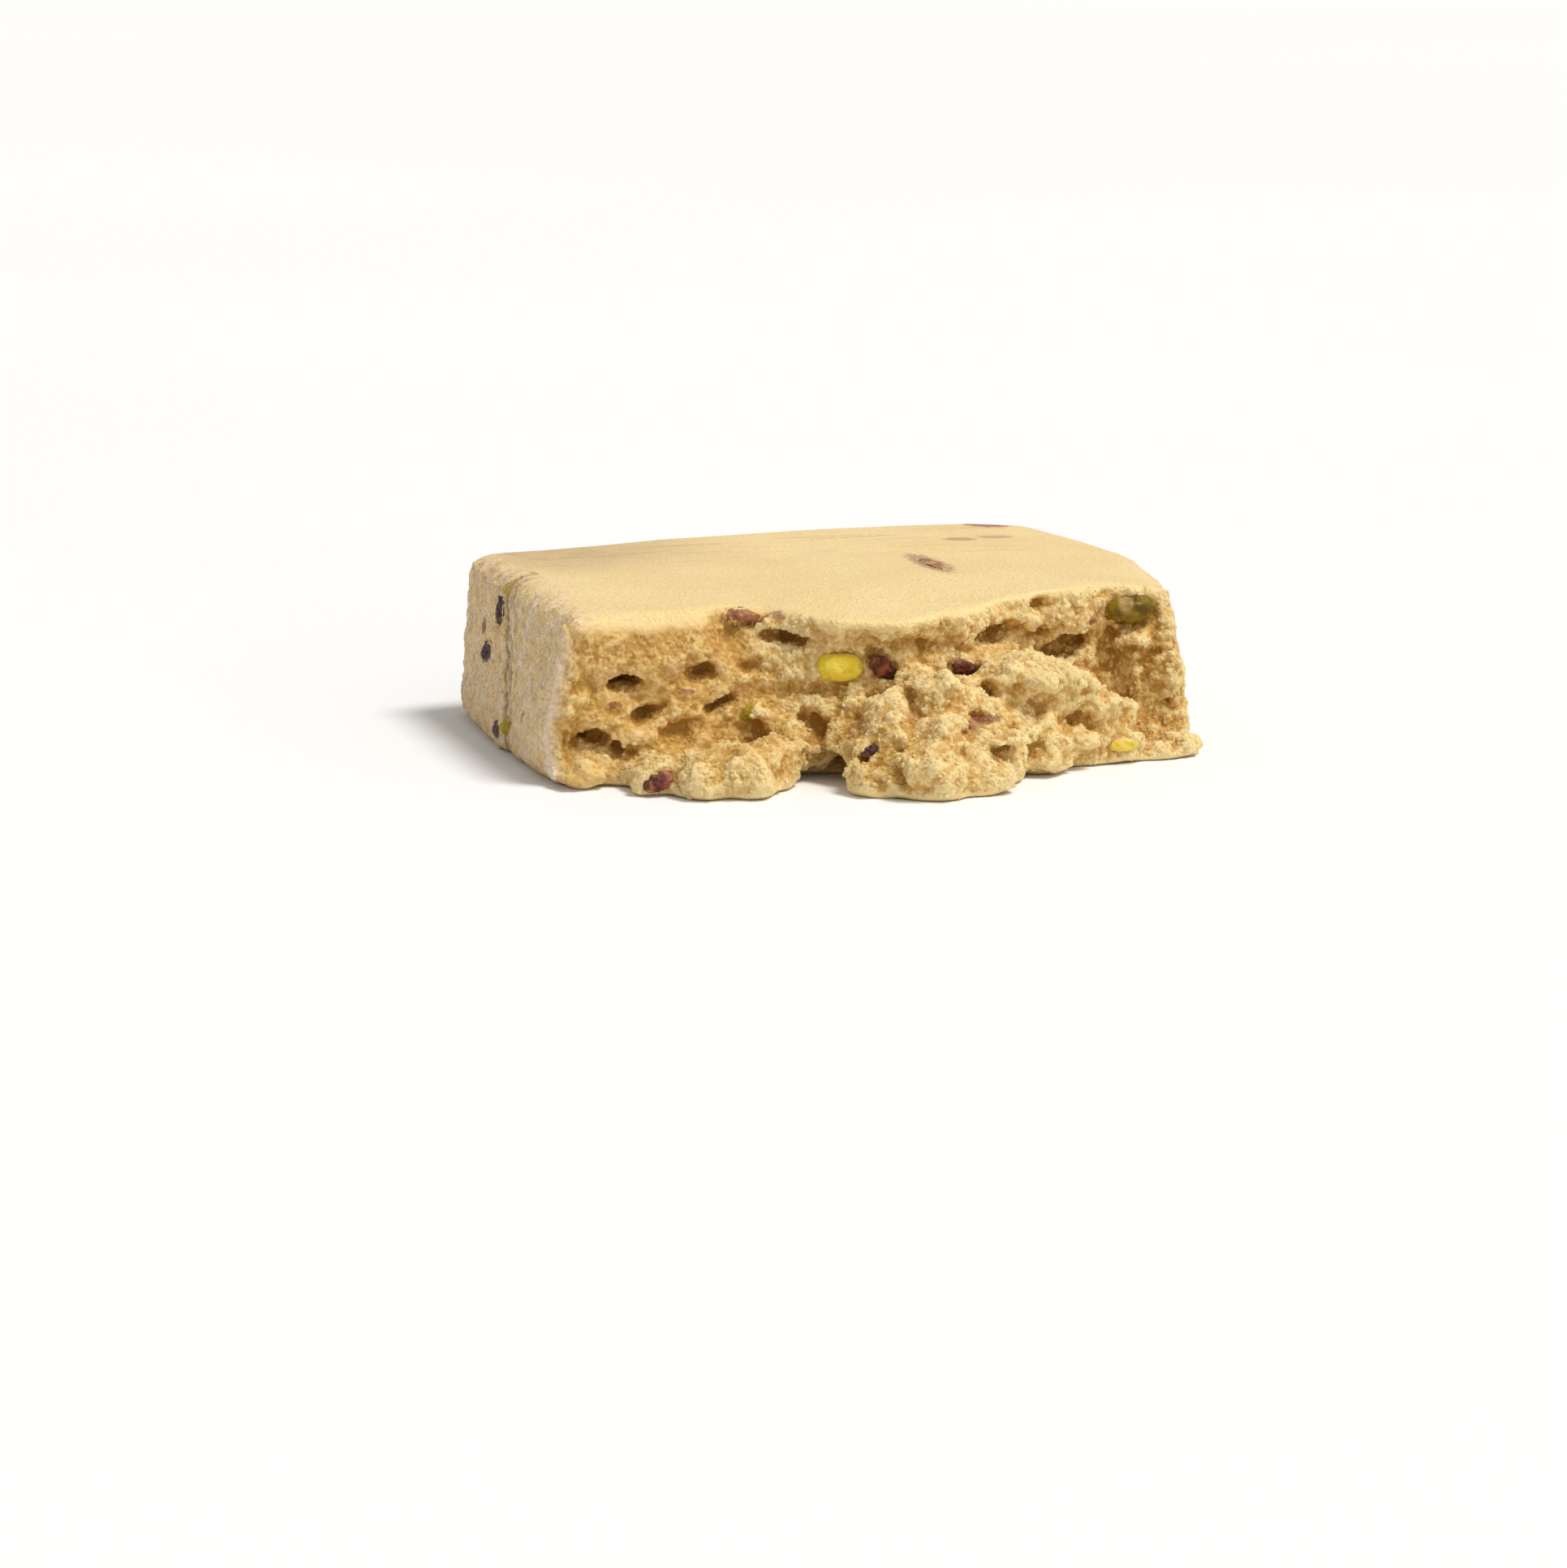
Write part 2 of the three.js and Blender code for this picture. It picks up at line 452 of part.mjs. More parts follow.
// The largest body of a cut solid. Loose scraps of crumb are dropped.
function mainBody(solid) {
  const bodies = solid.decompose();
  return bodies.reduce((largest, body) => (body.volume() > largest.volume() ? body : largest));
}

const MATERIALS = {
  nougat: new THREE.MeshStandardMaterial({ color: 0xe6cb94, roughness: 0.6, metalness: 0 }),
  [PISTACHIO]: new THREE.MeshStandardMaterial({ color: 0xb3aa35, roughness: 0.45, metalness: 0 }),
  [CRANBERRY]: new THREE.MeshStandardMaterial({ color: 0x5e2a35, roughness: 0.5, metalness: 0 }),
};

function namedMesh(name, solid, material) {
  const mesh = new THREE.Mesh(geometryOf(solid), material);
  mesh.name = name;
  return mesh;
}

const slab = solidOf(slabGeometry());
const bar = new THREE.Group();
let nougat = slab.subtract(solidOf(tearGeometry()));
LUMPS.forEach((lump, index) => {
  nougat = nougat.add(solidOf(lumpGeometry(lump, SEEDS.lump + index)).intersect(slab));
});
HOLLOWS.forEach((hollow, index) => {
  nougat = nougat.subtract(solidOf(hollowGeometry(hollow, SEEDS.hollow + index)));
});

PIECES.forEach((piece, index) => {
  const seed = SEEDS.piece + index;
  const whole = solidOf(pieceGeometry(piece, seed, 0));
  const flush = mainBody(whole.intersect(slab));
  nougat = nougat.subtract(solidOf(pieceGeometry(piece, seed, GAP)));
  bar.add(namedMesh(piece.name, flush, MATERIALS[piece.kind]));
});
bar.add(namedMesh('nougat', mainBody(nougat), MATERIALS.nougat));

// The origin goes under the middle of the bar, on its base.
const box = new THREE.Box3().setFromObject(bar);
const middle = box.getCenter(new THREE.Vector3());
bar.position.set(-middle.x, -middle.y, -box.min.z);

export default bar;
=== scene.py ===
"""Half of a chewy nougat bar: a smooth satin skin, and one torn end of granular crumb
with pistachio and cranberry pieces in it. Lengths are in millimetres from the bar's own
corner, and MM turns them into metres."""
import math

import bmesh
import bpy
import numpy as np
from mathutils import Matrix, Vector, noise
from mathutils.bvhtree import BVHTree
from mathutils.kdtree import KDTree


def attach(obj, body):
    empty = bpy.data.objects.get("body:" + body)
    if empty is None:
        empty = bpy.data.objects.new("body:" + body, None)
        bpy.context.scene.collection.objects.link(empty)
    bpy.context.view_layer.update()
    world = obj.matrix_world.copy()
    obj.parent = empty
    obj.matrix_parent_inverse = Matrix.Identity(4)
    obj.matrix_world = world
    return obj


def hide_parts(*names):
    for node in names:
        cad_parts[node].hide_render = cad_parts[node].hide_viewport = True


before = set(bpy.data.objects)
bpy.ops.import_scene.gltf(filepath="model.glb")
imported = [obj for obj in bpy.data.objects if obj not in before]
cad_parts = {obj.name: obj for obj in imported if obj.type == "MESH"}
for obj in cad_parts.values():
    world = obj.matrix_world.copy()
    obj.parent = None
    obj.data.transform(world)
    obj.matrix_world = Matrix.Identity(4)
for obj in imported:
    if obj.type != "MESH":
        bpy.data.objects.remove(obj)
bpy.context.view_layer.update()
MM = 0.001
BODY = "root"

# ---- outline of the bar
# x runs along the torn end, y away from it, z up. CORNER is the bar's own corner in the
# part's frame. Stations pair a place along x with a value there.

CORNER = np.array([-21.240, -9.981, 0.0])
WIDTH = 40.0
HEIGHT = 10.8
LEFT_INSET, LEFT_SLOPE, LEFT_BOW, LEFT_BOW_AT = 0.25, 0.9, 0.7, 13.0
RIGHT_SLOPE, RIGHT_BOW, RIGHT_BOW_AT = 1.7, 2.9, 19.0
DEPTH, DEPTH_GROWTH, BACK_BULGE = 27.0, 5.3, 1.8
CROWN, DIP_REACH, RIGHT_DIP = 0.22, 10.0, 0.16
TOP_OUT = ((0, 0.2), (2.5, 0), (8, 0), (10.6, -1.9), (13.2, -0.6), (17, 3.5), (20.5, 4.3),
           (24.5, 2.5), (29, 0), (33, -1.2), (36.5, -2.5), (40, -2.3))
EDGE_DIP = ((0, 0.25), (5, 0.4), (10, 0.25), (14, 0.55), (18, 0.85), (21.5, 0.85),
            (25.5, 0.55), (30, 0.2), (34, 0.08), (40, 0.2))


def ease(low, high, value):
    share = np.clip((value - low) / (high - low), 0.0, 1.0)
    return share * share * (3 - 2 * share)


def through(stations, position):
    at, value = np.array(stations, float).T
    last = len(at) - 2
    index = np.clip(np.searchsorted(at, position, side="right") - 1, 0, last)
    share = ease(at[index], at[index + 1], position)
    return value[index] + (value[index + 1] - value[index]) * share


def bow(y, at):
    return np.maximum(1 - ((y - at) / at) ** 2, 0)


def left_side(y, z):
    lean = (1 - ease(3, 10.4, z)) * ease(-2, 3, z) * (1 - ease(0, 9, y))
    slope = LEFT_SLOPE + LEFT_BOW * bow(y, LEFT_BOW_AT)
    return -LEFT_INSET - slope * (1 - z / HEIGHT) - lean


def right_side(y, z):
    return WIDTH + RIGHT_BOW * bow(y, RIGHT_BOW_AT) + RIGHT_SLOPE * (1 - z / HEIGHT)


def back_side(x):
    share = np.clip(x / WIDTH, 0, 1)
    return DEPTH + DEPTH_GROWTH * share + BACK_BULGE * np.sin(np.pi * share)


def top_height(x, y):
    from_edge = y + through(TOP_OUT, x)
    dip = (through(EDGE_DIP, x) * (1 - ease(0, DIP_REACH, from_edge))
           + RIGHT_DIP * ease(36, WIDTH, x))
    across = np.sin(np.pi * np.clip(x, 0, WIDTH) / WIDTH)
    return HEIGHT + CROWN * bow(y, RIGHT_BOW_AT) * across - dip


def depths(points):
    """How far below each side of the skin points lie, in millimetres."""
    x, y, z = points.T
    return {"left": x - left_side(y, z), "right": right_side(y, z) - x, "back": back_side(x) - y,
            "top": top_height(x, y) - z, "base": z}


# ---- meshes as arrays


def to_bar(points):
    return points / MM - CORNER


def from_bar(points):
    return (np.asarray(points) + CORNER) * MM


def read(items, field, columns, kind=np.float32):
    """One field of a mesh's items as an array with so many columns."""
    flat = np.empty(len(items) * columns, kind)
    items.foreach_get(field, flat)
    return flat.reshape(-1, columns)


def vertices_of(mesh):
    return read(mesh.vertices, "co", 3).astype(float)


def normals_of(mesh):
    return read(mesh.vertex_normals, "vector", 3).astype(float)


def set_vertices(mesh, points):
    mesh.vertices.foreach_set("co", np.asarray(points, np.float32).ravel())
    mesh.update()


def bar_points(mesh):
    """A mesh's vertices in millimetres from the bar's corner."""
    return to_bar(vertices_of(mesh))


def set_bar_points(mesh, points):
    set_vertices(mesh, from_bar(points))


def shade(mesh, smooth):
    mesh.polygons.foreach_set("use_smooth", np.full(len(mesh.polygons), smooth))


def set_attribute(mesh, name, values):
    """Stores one number for each vertex."""
    if name in mesh.attributes:
        mesh.attributes.remove(mesh.attributes[name])
    layer = mesh.attributes.new(name, "FLOAT", "POINT")
    layer.data.foreach_set("value", np.asarray(values, np.float32))


def edges_of(mesh):
    return read(mesh.edges, "vertices", 2, np.int32)


def blurred(values, edges, rounds, share=0.5):
    """Evens out vertex values (n, k) along edges."""
    result = np.array(values, float)
    count = np.bincount(edges.ravel(), minlength=len(result))[:, None].clip(1)
    for _ in range(rounds):
        total = np.empty_like(result)
        for column in range(result.shape[1]):
            first, second = result[edges[:, 0], column], result[edges[:, 1], column]
            total[:, column] = (np.bincount(edges[:, 0], second, len(result))
                                + np.bincount(edges[:, 1], first, len(result)))
        result += share * (total / count - result)
    return result


def new_object(name, mesh):
    piece = bpy.data.objects.new(name, mesh)
    bpy.context.scene.collection.objects.link(piece)
    return piece


def baked(piece):
    """The object's mesh with its modifiers applied, on a new object. The old one goes."""
    bpy.context.view_layer.update()
    evaluated = piece.evaluated_get(bpy.context.evaluated_depsgraph_get())
    mesh = bpy.data.meshes.new_from_object(evaluated)
    name = piece.name
    bpy.data.objects.remove(piece)
    result = new_object(name, mesh)
    mesh.name = name
    return result


def merged_copy(node, name):
    """A copy of a node's mesh with its loose triangles joined."""
    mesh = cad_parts[node].data.copy()
    shell = bmesh.new()
    shell.from_mesh(mesh)
    bmesh.ops.remove_doubles(shell, verts=shell.verts, dist=1e-7)
    shell.to_mesh(mesh)
    shell.free()
    mesh.materials.clear()
    for layer in [item.name for item in mesh.attributes if item.name.startswith(("UV", "Col"))]:
        mesh.attributes.remove(mesh.attributes[layer])
    return new_object(name, mesh)


def tree_of(node_object):
    shell = bmesh.new()
    shell.from_mesh(node_object.data)
    tree = BVHTree.FromBMesh(shell)
    shell.free()
    return tree


def joined(pieces, name):
    """Several objects as one mesh."""
    whole = bmesh.new()
    for piece in pieces:
        whole.from_mesh(piece.data)
        bpy.data.objects.remove(piece)
    mesh = bpy.data.meshes.new(name)
    whole.to_mesh(mesh)
    whole.free()
    return new_object(name, mesh)


# ---- node trees as expressions


def socket_named(sockets, key):
    if isinstance(key, int):
        return sockets[key]
    for socket in sockets:
        if socket.identifier == key:
            return socket
    return sockets[key]


class Wire:
    """A socket. Arithmetic on it adds Math nodes to its tree."""

    def __init__(self, net, socket):
        self.net = net
        self.socket = socket

    def __add__(self, other):
        return self.net.math("ADD", self, other)

    def __sub__(self, other):
        return self.net.math("SUBTRACT", self, other)

    def __rsub__(self, other):
        return self.net.math("SUBTRACT", other, self)

    def __mul__(self, other):
        return self.net.math("MULTIPLY", self, other)

    def __rtruediv__(self, other):
        return self.net.math("DIVIDE", other, self)

    def __pow__(self, other):
        return self.net.math("POWER", self, other)

    __radd__ = __add__
    __rmul__ = __mul__

    def most(self, other):
        return self.net.math("MAXIMUM", self, other)

    def sine(self):
        return self.net.math("SINE", self)

    def absolute(self):
        return self.net.math("ABSOLUTE", self)

    def ramp(self, low, high, to_low=0.0, to_high=1.0):
        """Eases from to_low at low to to_high at high."""
        settings = {"interpolation_type": "SMOOTHSTEP", "clamp": True}
        inputs = {"Value": self, "From Min": low, "From Max": high, "To Min": to_low,
                  "To Max": to_high}
        return self.net.node("ShaderNodeMapRange", settings, inputs)


class Net:
    """A node tree that is written as expressions."""

    def __init__(self, tree):
        self.tree = tree

    def feed(self, socket, value):
        if isinstance(value, Wire):
            self.tree.links.new(value.socket, socket)
        else:
            socket.default_value = value

    def node(self, kind, settings=None, inputs=None, output=0):
        node = self.tree.nodes.new(kind)
        for name, value in (settings or {}).items():
            setattr(node, name, value)
        for key, value in (inputs or {}).items():
            self.feed(socket_named(node.inputs, key), value)
        return Wire(self, socket_named(node.outputs, output))

    def math(self, operation, *values):
        return self.node("ShaderNodeMath", {"operation": operation}, dict(enumerate(values)))

    def vector(self, operation, *values, output=0, **named):
        inputs = dict(enumerate(values)) | named
        return self.node("ShaderNodeVectorMath", {"operation": operation}, inputs, output)

    def mix(self, share, first, second):
        """A blend of two colours, each of them a wire or red, green and blue."""
        first, second = (colour if isinstance(colour, Wire) else (*colour, 1)
                         for colour in (first, second))
        return self.node("ShaderNodeMix", {"data_type": "RGBA"},
                         {"Factor_Float": share, "A_Color": first, "B_Color": second},
                         "Result_Color")

    def layered(self, colour, *layers):
        """A colour with tints laid over it, each by a share from 0 to 1."""
        for share, tint in layers:
            colour = self.mix(share, colour, tint)
        return colour

    def noise(self, place, scale, detail=2.0, rough=0.5):
        return self.node("ShaderNodeTexNoise", {}, {"Vector": place, "Scale": scale,
                                                    "Detail": detail, "Roughness": rough})

    def cells(self, place, scale, smooth=None):
        """How far the nearest of many scattered points is. smooth rounds the ridges between."""
        settings, inputs = {"feature": "F1"}, {"Vector": place, "Scale": scale}
        if smooth is not None:
            settings["feature"], inputs["Smoothness"] = "SMOOTH_F1", smooth
        return self.node("ShaderNodeTexVoronoi", settings, inputs, "Distance")

    def attribute(self, name):
        return self.node("ShaderNodeAttribute", {"attribute_name": name}, {}, "Fac")


def shape_tree(name, floats, whole_numbers=()):
    """A Geometry Nodes tree with a geometry going in and out, and named inputs."""
    tree = bpy.data.node_groups.new(name, "GeometryNodeTree")
    kinds = {"Geometry": "Geometry", "Material": "Material"}
    kinds |= dict.fromkeys(floats, "Float") | dict.fromkeys(whole_numbers, "Int")
    for label, kind in kinds.items():
        tree.interface.new_socket(label, in_out="INPUT", socket_type="NodeSocket" + kind)
    tree.interface.new_socket("Geometry", in_out="OUTPUT", socket_type="NodeSocketGeometry")
    net = Net(tree)
    source = tree.nodes.new("NodeGroupInput")
    given = {socket.name: Wire(net, socket) for socket in source.outputs if socket.name}
    return tree, net, given


def add_shape(piece, tree, lengths, **others):
    """Puts a tree on an object as a modifier. lengths are sizes in millimetres."""
    values = {name: length * MM for name, length in lengths.items()} | others
    values["Material"] = NOUGAT
    modifier = piece.modifiers.new(tree.name, "NODES")
    modifier.node_group = tree
    for item in tree.interface.items_tree:
        if item.item_type == "SOCKET" and item.in_out == "INPUT" and item.name in values:
            modifier[item.identifier] = values[item.name]


# Sizes of the relief, coarse and fine.
COARSE_RELIEF = {"Clump Size": 2.1, "Clump Depth": 0.30, "Wave Size": 1.0, "Wave Depth": 0.62,
                 "Grain Size": 0.45, "Grain Depth": 0.10, "Skin Wave Size": 5,
                 "Skin Wave Depth": 0.08}
FINE_RELIEF = {"Clump Size": 0.9, "Clump Depth": 0.05, "Wave Size": 0.36, "Wave Depth": 0.22,
               "Grain Size": 0.3, "Grain Depth": 0.07, "Skin Wave Size": 2,
               "Skin Wave Depth": 0.02}
# Sizes of the crumbs that are fused into the nougat.
CRUMBS = {"Spacing": 0.27, "Smallest": 0.09, "Largest": 0.42, "Patch Size": 1.7}
MOST_CRUMBS = 4e7  # on a square metre


def named_attribute(net, name):
    return net.node("GeometryNodeInputNamedAttribute", {"data_type": "FLOAT"}, {"Name": name})


def relief_tree():
    """Pushes a surface in and out along its normals with clumps, waves and grain."""
    tree, net, given = shape_tree("crumb relief", COARSE_RELIEF)
    place = net.node("GeometryNodeInputPosition")
    torn = named_attribute(net, "relief")
    bent = net.node("ShaderNodeTexNoise", {}, {
        "Vector": place, "Scale": 1 / given["Clump Size"], "Detail": 2.0}, "Color")
    shift = net.vector("SUBTRACT", bent, (0.5, 0.5, 0.5))
    shift = net.vector("SCALE", shift, Scale=given["Clump Size"] * 0.9)
    warped = net.vector("ADD", place, shift)
    clumps = net.cells(warped, 1 / given["Clump Size"], 0.18)
    waves = net.noise(warped, 1 / given["Wave Size"], 4.0, 0.7)
    grain = net.cells(warped, 1 / given["Grain Size"], 0.25)
    skin = net.noise(place, 1 / given["Skin Wave Size"], 1.0, 0.4)
    rise = ((0.45 - clumps) * given["Clump Depth"] * 2.0
            + (waves - 0.5) * given["Wave Depth"] * 2.0
            + (0.4 - grain) * given["Grain Depth"] * 2.0)
    push = rise * torn + (skin - 0.5) * given["Skin Wave Depth"] * (1 - torn)
    offset = net.vector("SCALE", net.node("GeometryNodeInputNormal"), Scale=push)
    moved = net.node("GeometryNodeSetPosition", {}, {"Geometry": given["Geometry"],
                                                     "Offset": offset})
    finish_tree(net, moved, given["Material"])
    return tree


def finish_tree(net, shape, material):
    """Ends a tree: real geometry in one material goes out."""
    whole = net.node("GeometryNodeRealizeInstances", {}, {"Geometry": shape})
    finished = net.node("GeometryNodeSetMaterial", {}, {"Geometry": whole, "Material": material})
    net.tree.links.new(finished.socket, net.tree.nodes.new("NodeGroupOutput").inputs[0])


def crumb_tree():
    """Scatters angular, uneven crumbs over a surface where its attribute says."""
    tree, net, given = shape_tree("scattered crumbs", (*CRUMBS, "Bare", "Sink"), ("Seed",))
    patches = net.noise(net.node("GeometryNodeInputPosition"), 1 / given["Patch Size"])
    amount = named_attribute(net, "crumbs") * patches.ramp(0.38, 0.62, given["Bare"], 1.0)
    spread = tree.nodes.new("GeometryNodeDistributePointsOnFaces")
    spread.distribute_method = "POISSON"
    for name, value in (("Mesh", given["Geometry"]), ("Distance Min", given["Spacing"]),
                        ("Density Max", MOST_CRUMBS), ("Density Factor", amount),
                        ("Seed", given["Seed"])):
        net.feed(spread.inputs[name], value)
    points, normal = Wire(net, spread.outputs["Points"]), Wire(net, spread.outputs["Normal"])

    def draw(low, high, extra, kind="FLOAT"):
        ending = "_001" if kind == "FLOAT" else ""
        inputs = {"Min" + ending: low, "Max" + ending: high, "Seed": given["Seed"] + extra}
        return net.node("FunctionNodeRandomValue", {"data_type": kind}, inputs,
                        "Value" + ending)

    lot = draw(0.0, 1.0, 11.0)
    size = given["Smallest"] + (given["Largest"] - given["Smallest"]) * lot ** 2.6
    stretch = draw((0.5, 0.5, 0.5), (1.35, 1.35, 1.35), 23.0, "FLOAT_VECTOR")
    turn = draw((0, 0, 0), (math.tau, math.tau, math.tau), 37.0, "FLOAT_VECTOR")
    turned = net.node("FunctionNodeEulerToRotation", {}, {0: turn})
    sunk = net.vector("SCALE", normal, Scale=size * given["Sink"] * -1.0)
    settled = net.node("GeometryNodeSetPosition", {}, {"Geometry": points, "Offset": sunk})
    ball = net.node("GeometryNodeMeshIcoSphere", {}, {"Radius": 1.0, "Subdivisions": 1})
    placed = net.node("GeometryNodeInstanceOnPoints", {}, {
        "Points": settled, "Instance": ball, "Rotation": turned,
        "Scale": net.vector("SCALE", stretch, Scale=size)})
    finish_tree(net, placed, given["Material"])
    return tree


# ---- materials


def shader(name, **constants):
    """A new material, its tree as a net, and its Principled shader with constant settings."""
    material = bpy.data.materials.new(name)
    material.use_nodes = True
    net = Net(material.node_tree)
    principled = material.node_tree.nodes["Principled BSDF"]
    for label, value in constants.items():
        principled.inputs[label.replace("_", " ")].default_value = value
    return material, net, principled


def finish_shader(net, principled, colour, roughness, height, strength):
    """Feeds a shader its colour, its roughness and a relief from a height."""
    bump = net.node("ShaderNodeBump", {},
                    {"Strength": strength, "Distance": MM, "Height": height})
    for name, value in (("Base Color", colour), ("Roughness", roughness), ("Normal", bump)):
        net.feed(principled.inputs[name], value)


def millimetres(net):
    """Object coordinates in millimetres from the bar's corner."""
    place = net.node("ShaderNodeTexCoord", {}, {}, "Object")
    scaled = net.vector("SCALE", place, Scale=1 / MM)
    return net.vector("SUBTRACT", scaled, tuple(CORNER))


# Half the width of a soft edge, as a share of the size of its spot.
SPOT_EDGE = 0.225


def spot(net, place, wobble, at, reach):
    """1 inside an uneven ellipsoid at a place, falling to 0 at its edge."""
    offset = net.vector("SUBTRACT", place, at)
    scaled = net.vector("MULTIPLY", offset, tuple(1 / length for length in reach))
    away = net.vector("LENGTH", scaled, output="Value")
    return (away + wobble).ramp(1 + SPOT_EDGE, 1 - SPOT_EDGE)


# Marks of berries that lie just under the surface: place, half sizes and strength.
BERRY_TINT = (0.27, 0.075, 0.055)
BERRY_MARKS = (
    (33.2, 22.6, 10.8, 1.2, 0.9, 0.6, 0.5), (36.0, 23.3, 10.8, 1.2, 0.7, 0.6, 0.45),
    (37.6, 30.2, 10.9, 1.6, 1.6, 0.6, 0.8), (27.8, 12.8, 10.9, 1.0, 4.1, 0.7, 0.6),
    (13.6, 0.8, 9.9, 0.6, 0.8, 0.4, 0.7), (-0.8, 20.1, 7.1, 0.6, 0.5, 0.55, 0.75),
    (2.6, 0.2, 5.0, 0.6, 0.9, 0.25, 0.6), (7.3, 0.0, 5.6, 0.6, 0.9, 0.25, 0.6),
    (24.6, -6.0, 4.05, 1.5, 3.4, 0.26, 0.7), (23.4, -6.0, 3.75, 1.1, 3.4, 0.2, 0.5),
    (31.9, -3.2, 1.0, 0.4, 1.0, 0.25, 0.6), (35.3, 1.0, 8.4, 0.6, 1.8, 0.28, 0.7),
    (-2.0, 6.5, 3.4, 0.6, 0.22, 0.5, 0.75),
)
# Marks of nuts under the surface: place and half sizes.
NUT_TINT = (0.47, 0.31, 0.06)
NUT_MARKS = (
    (0.05, 15.9, 10.1, 0.7, 0.6, 0.75), (1.9, 16.9, 10.8, 0.25, 0.8, 0.5),
    (24.7, -9.2, 2.8, 0.7, 1.8, 0.24),
)
# Thin scuffs on the top, lengthwise.
SCUFF_TINT = (0.50, 0.36, 0.21)
SCUFFS = (
    (26.6, 25.6, 10.9, 3.0, 0.4, 0.6), (8.0, 22.5, 10.8, 4.5, 0.45, 0.6),
    (13.5, 25.0, 10.8, 3.5, 0.4, 0.6), (3.5, 19.5, 10.6, 2.6, 0.35, 0.6),
)
# The scrape slants up the left side: its place along y at the base, how far it leans back
# and the bend of its slant, then two small waves in it, each with its rate and size.
SCRAPE_AT, SCRAPE_LEAN, SCRAPE_BEND = 10.4, 5.3, 1.4
SCRAPE_WAVES = ((1.9, 0.05), (5.1, 0.02))
# Grooves along the scrape: distance from its middle, width, depth.
GROOVES = ((0.75, 0.28, 0.32), (-0.75, 0.22, 0.22), (-1.9, 0.2, 0.10), (2.6, 0.25, 0.08))


def nougat_material():
    material, net, principled = shader(
        "nougat", Subsurface_Weight=0.16, Subsurface_Radius=(1.0, 0.62, 0.3),
        Subsurface_Scale=0.0008, IOR=1.45, Specular_IOR_Level=0.28)
    place = millimetres(net)
    x, y, z = (net.node("ShaderNodeSeparateXYZ", {}, {"Vector": place}, axis) for axis in "XYZ")
    torn, painted_shading, side, rim_highlight, painted_back_shade, smeared = map(
        net.attribute, ("torn", "painted_shading", "side", "rim_highlight", "painted_back_shade", "smeared"))
    patchy = net.noise(place, 0.7, 3.0, 0.6)
    fine = net.noise(place, 3.2, 3.0, 0.6)

    # Skin: warm cream, with pale patches, faint freckles, glints painted in as bright highlights,
    # and brownish scratches.
    cream = net.mix(net.noise(place, 0.16).ramp(0.35, 0.65),
                    (0.862, 0.642, 0.298), (0.90, 0.683, 0.336))
    freckle = net.cells(place, 1.3).ramp(0.16, 0.05) * fine.ramp(0.5, 0.62)
    front = y.ramp(24, 8)
    # Painted highlight: small bright specks of glinting light on the skin, mostly towards the
    # front. The same specks are also glossier and slightly raised.
    speck_and_painted_glint = net.cells(place, 3.1).ramp(0.44, 0.16) * patchy.ramp(0.36, 0.52) * front
    satin = net.noise(place, 4.2, 2.0, 0.7).ramp(0.40, 0.60)
    lengthwise = net.vector("MULTIPLY", place, (0.10, 2.2, 2.2))
    scratch = net.noise(lengthwise, 1.0, 4.0, 0.7).ramp(0.58, 0.68) * (1 - front * 0.75)
    # Painted shade: the top of the skin darkens towards its back left.
    cream = net.layered(
        cream, (patchy.ramp(0.55, 0.8) * 0.2, (0.90, 0.73, 0.43)),
        (freckle * 0.5, (0.50, 0.30, 0.10)), (speck_and_painted_glint * 0.62, (1.0, 0.82, 0.42)),
        (satin * 0.32, (0.70, 0.47, 0.19)), (scratch * 0.42, (0.52, 0.37, 0.22)),
        (painted_back_shade * (0.3 + patchy * 0.9), (0.56, 0.39, 0.19)))

    # Sides: greyer, with upright streaks and a pale bloom.
    upright = net.vector("MULTIPLY", place, (1.0, 1.5, 0.14))
    streak = net.noise(upright, 1.0, 4.0, 0.65)
    mottle = net.noise(place, 0.8, 4.0, 0.7)
    bloom = net.noise(place, 0.5, 4.0, 0.75).ramp(0.5, 0.68)
    blotch = net.noise(place, 1.4, 3.0, 0.7).ramp(0.54, 0.64)
    fibre = net.noise(net.vector("MULTIPLY", place, (2.6, 2.6, 0.22)), 1.0, 3.0, 0.6)
    speck = net.cells(place, 2.2).ramp(0.24, 0.08) * fine.ramp(0.42, 0.56)
    pale = net.cells(place, 2.9).ramp(0.26, 0.10) * mottle.ramp(0.42, 0.54)
    grey = net.mix(streak.ramp(0.3, 0.75) * 0.4, (0.86, 0.63, 0.37), (0.91, 0.73, 0.51))
    grey = net.layered(
        grey, (mottle.ramp(0.44, 0.58), (0.83, 0.57, 0.25)),
        (bloom * 0.75, (0.90, 0.77, 0.62)), (blotch * 0.5, (0.50, 0.32, 0.14)),
        (fine.ramp(0.56, 0.66) * 0.5, (0.42, 0.26, 0.10)),
        (fibre.ramp(0.54, 0.66) * 0.45, (0.46, 0.31, 0.17)),
        (speck * 0.6, (0.38, 0.23, 0.11)), (pale * 0.6, (0.96, 0.80, 0.52)))

    # The scrape down the left side: a dull band, with dark lines of painted shade along its
    # grooves.
    across = y - SCRAPE_AT - (z.most(0.01) * (1 / HEIGHT)) ** SCRAPE_BEND * SCRAPE_LEAN
    for rate, wave in SCRAPE_WAVES:
        across = across - (z * rate).sine() * wave
    broken = fibre.ramp(0.36, 0.5, 0.35, 1.0) * x.ramp(2.6, 1.6)
    grey = net.layered(
        grey, (across.absolute().ramp(1.0, 0.7) * broken * 0.75, (0.50, 0.35, 0.21)),
        ((across - 0.25).absolute().ramp(0.35, 0.1) * broken * 0.6, (0.92, 0.78, 0.62)))
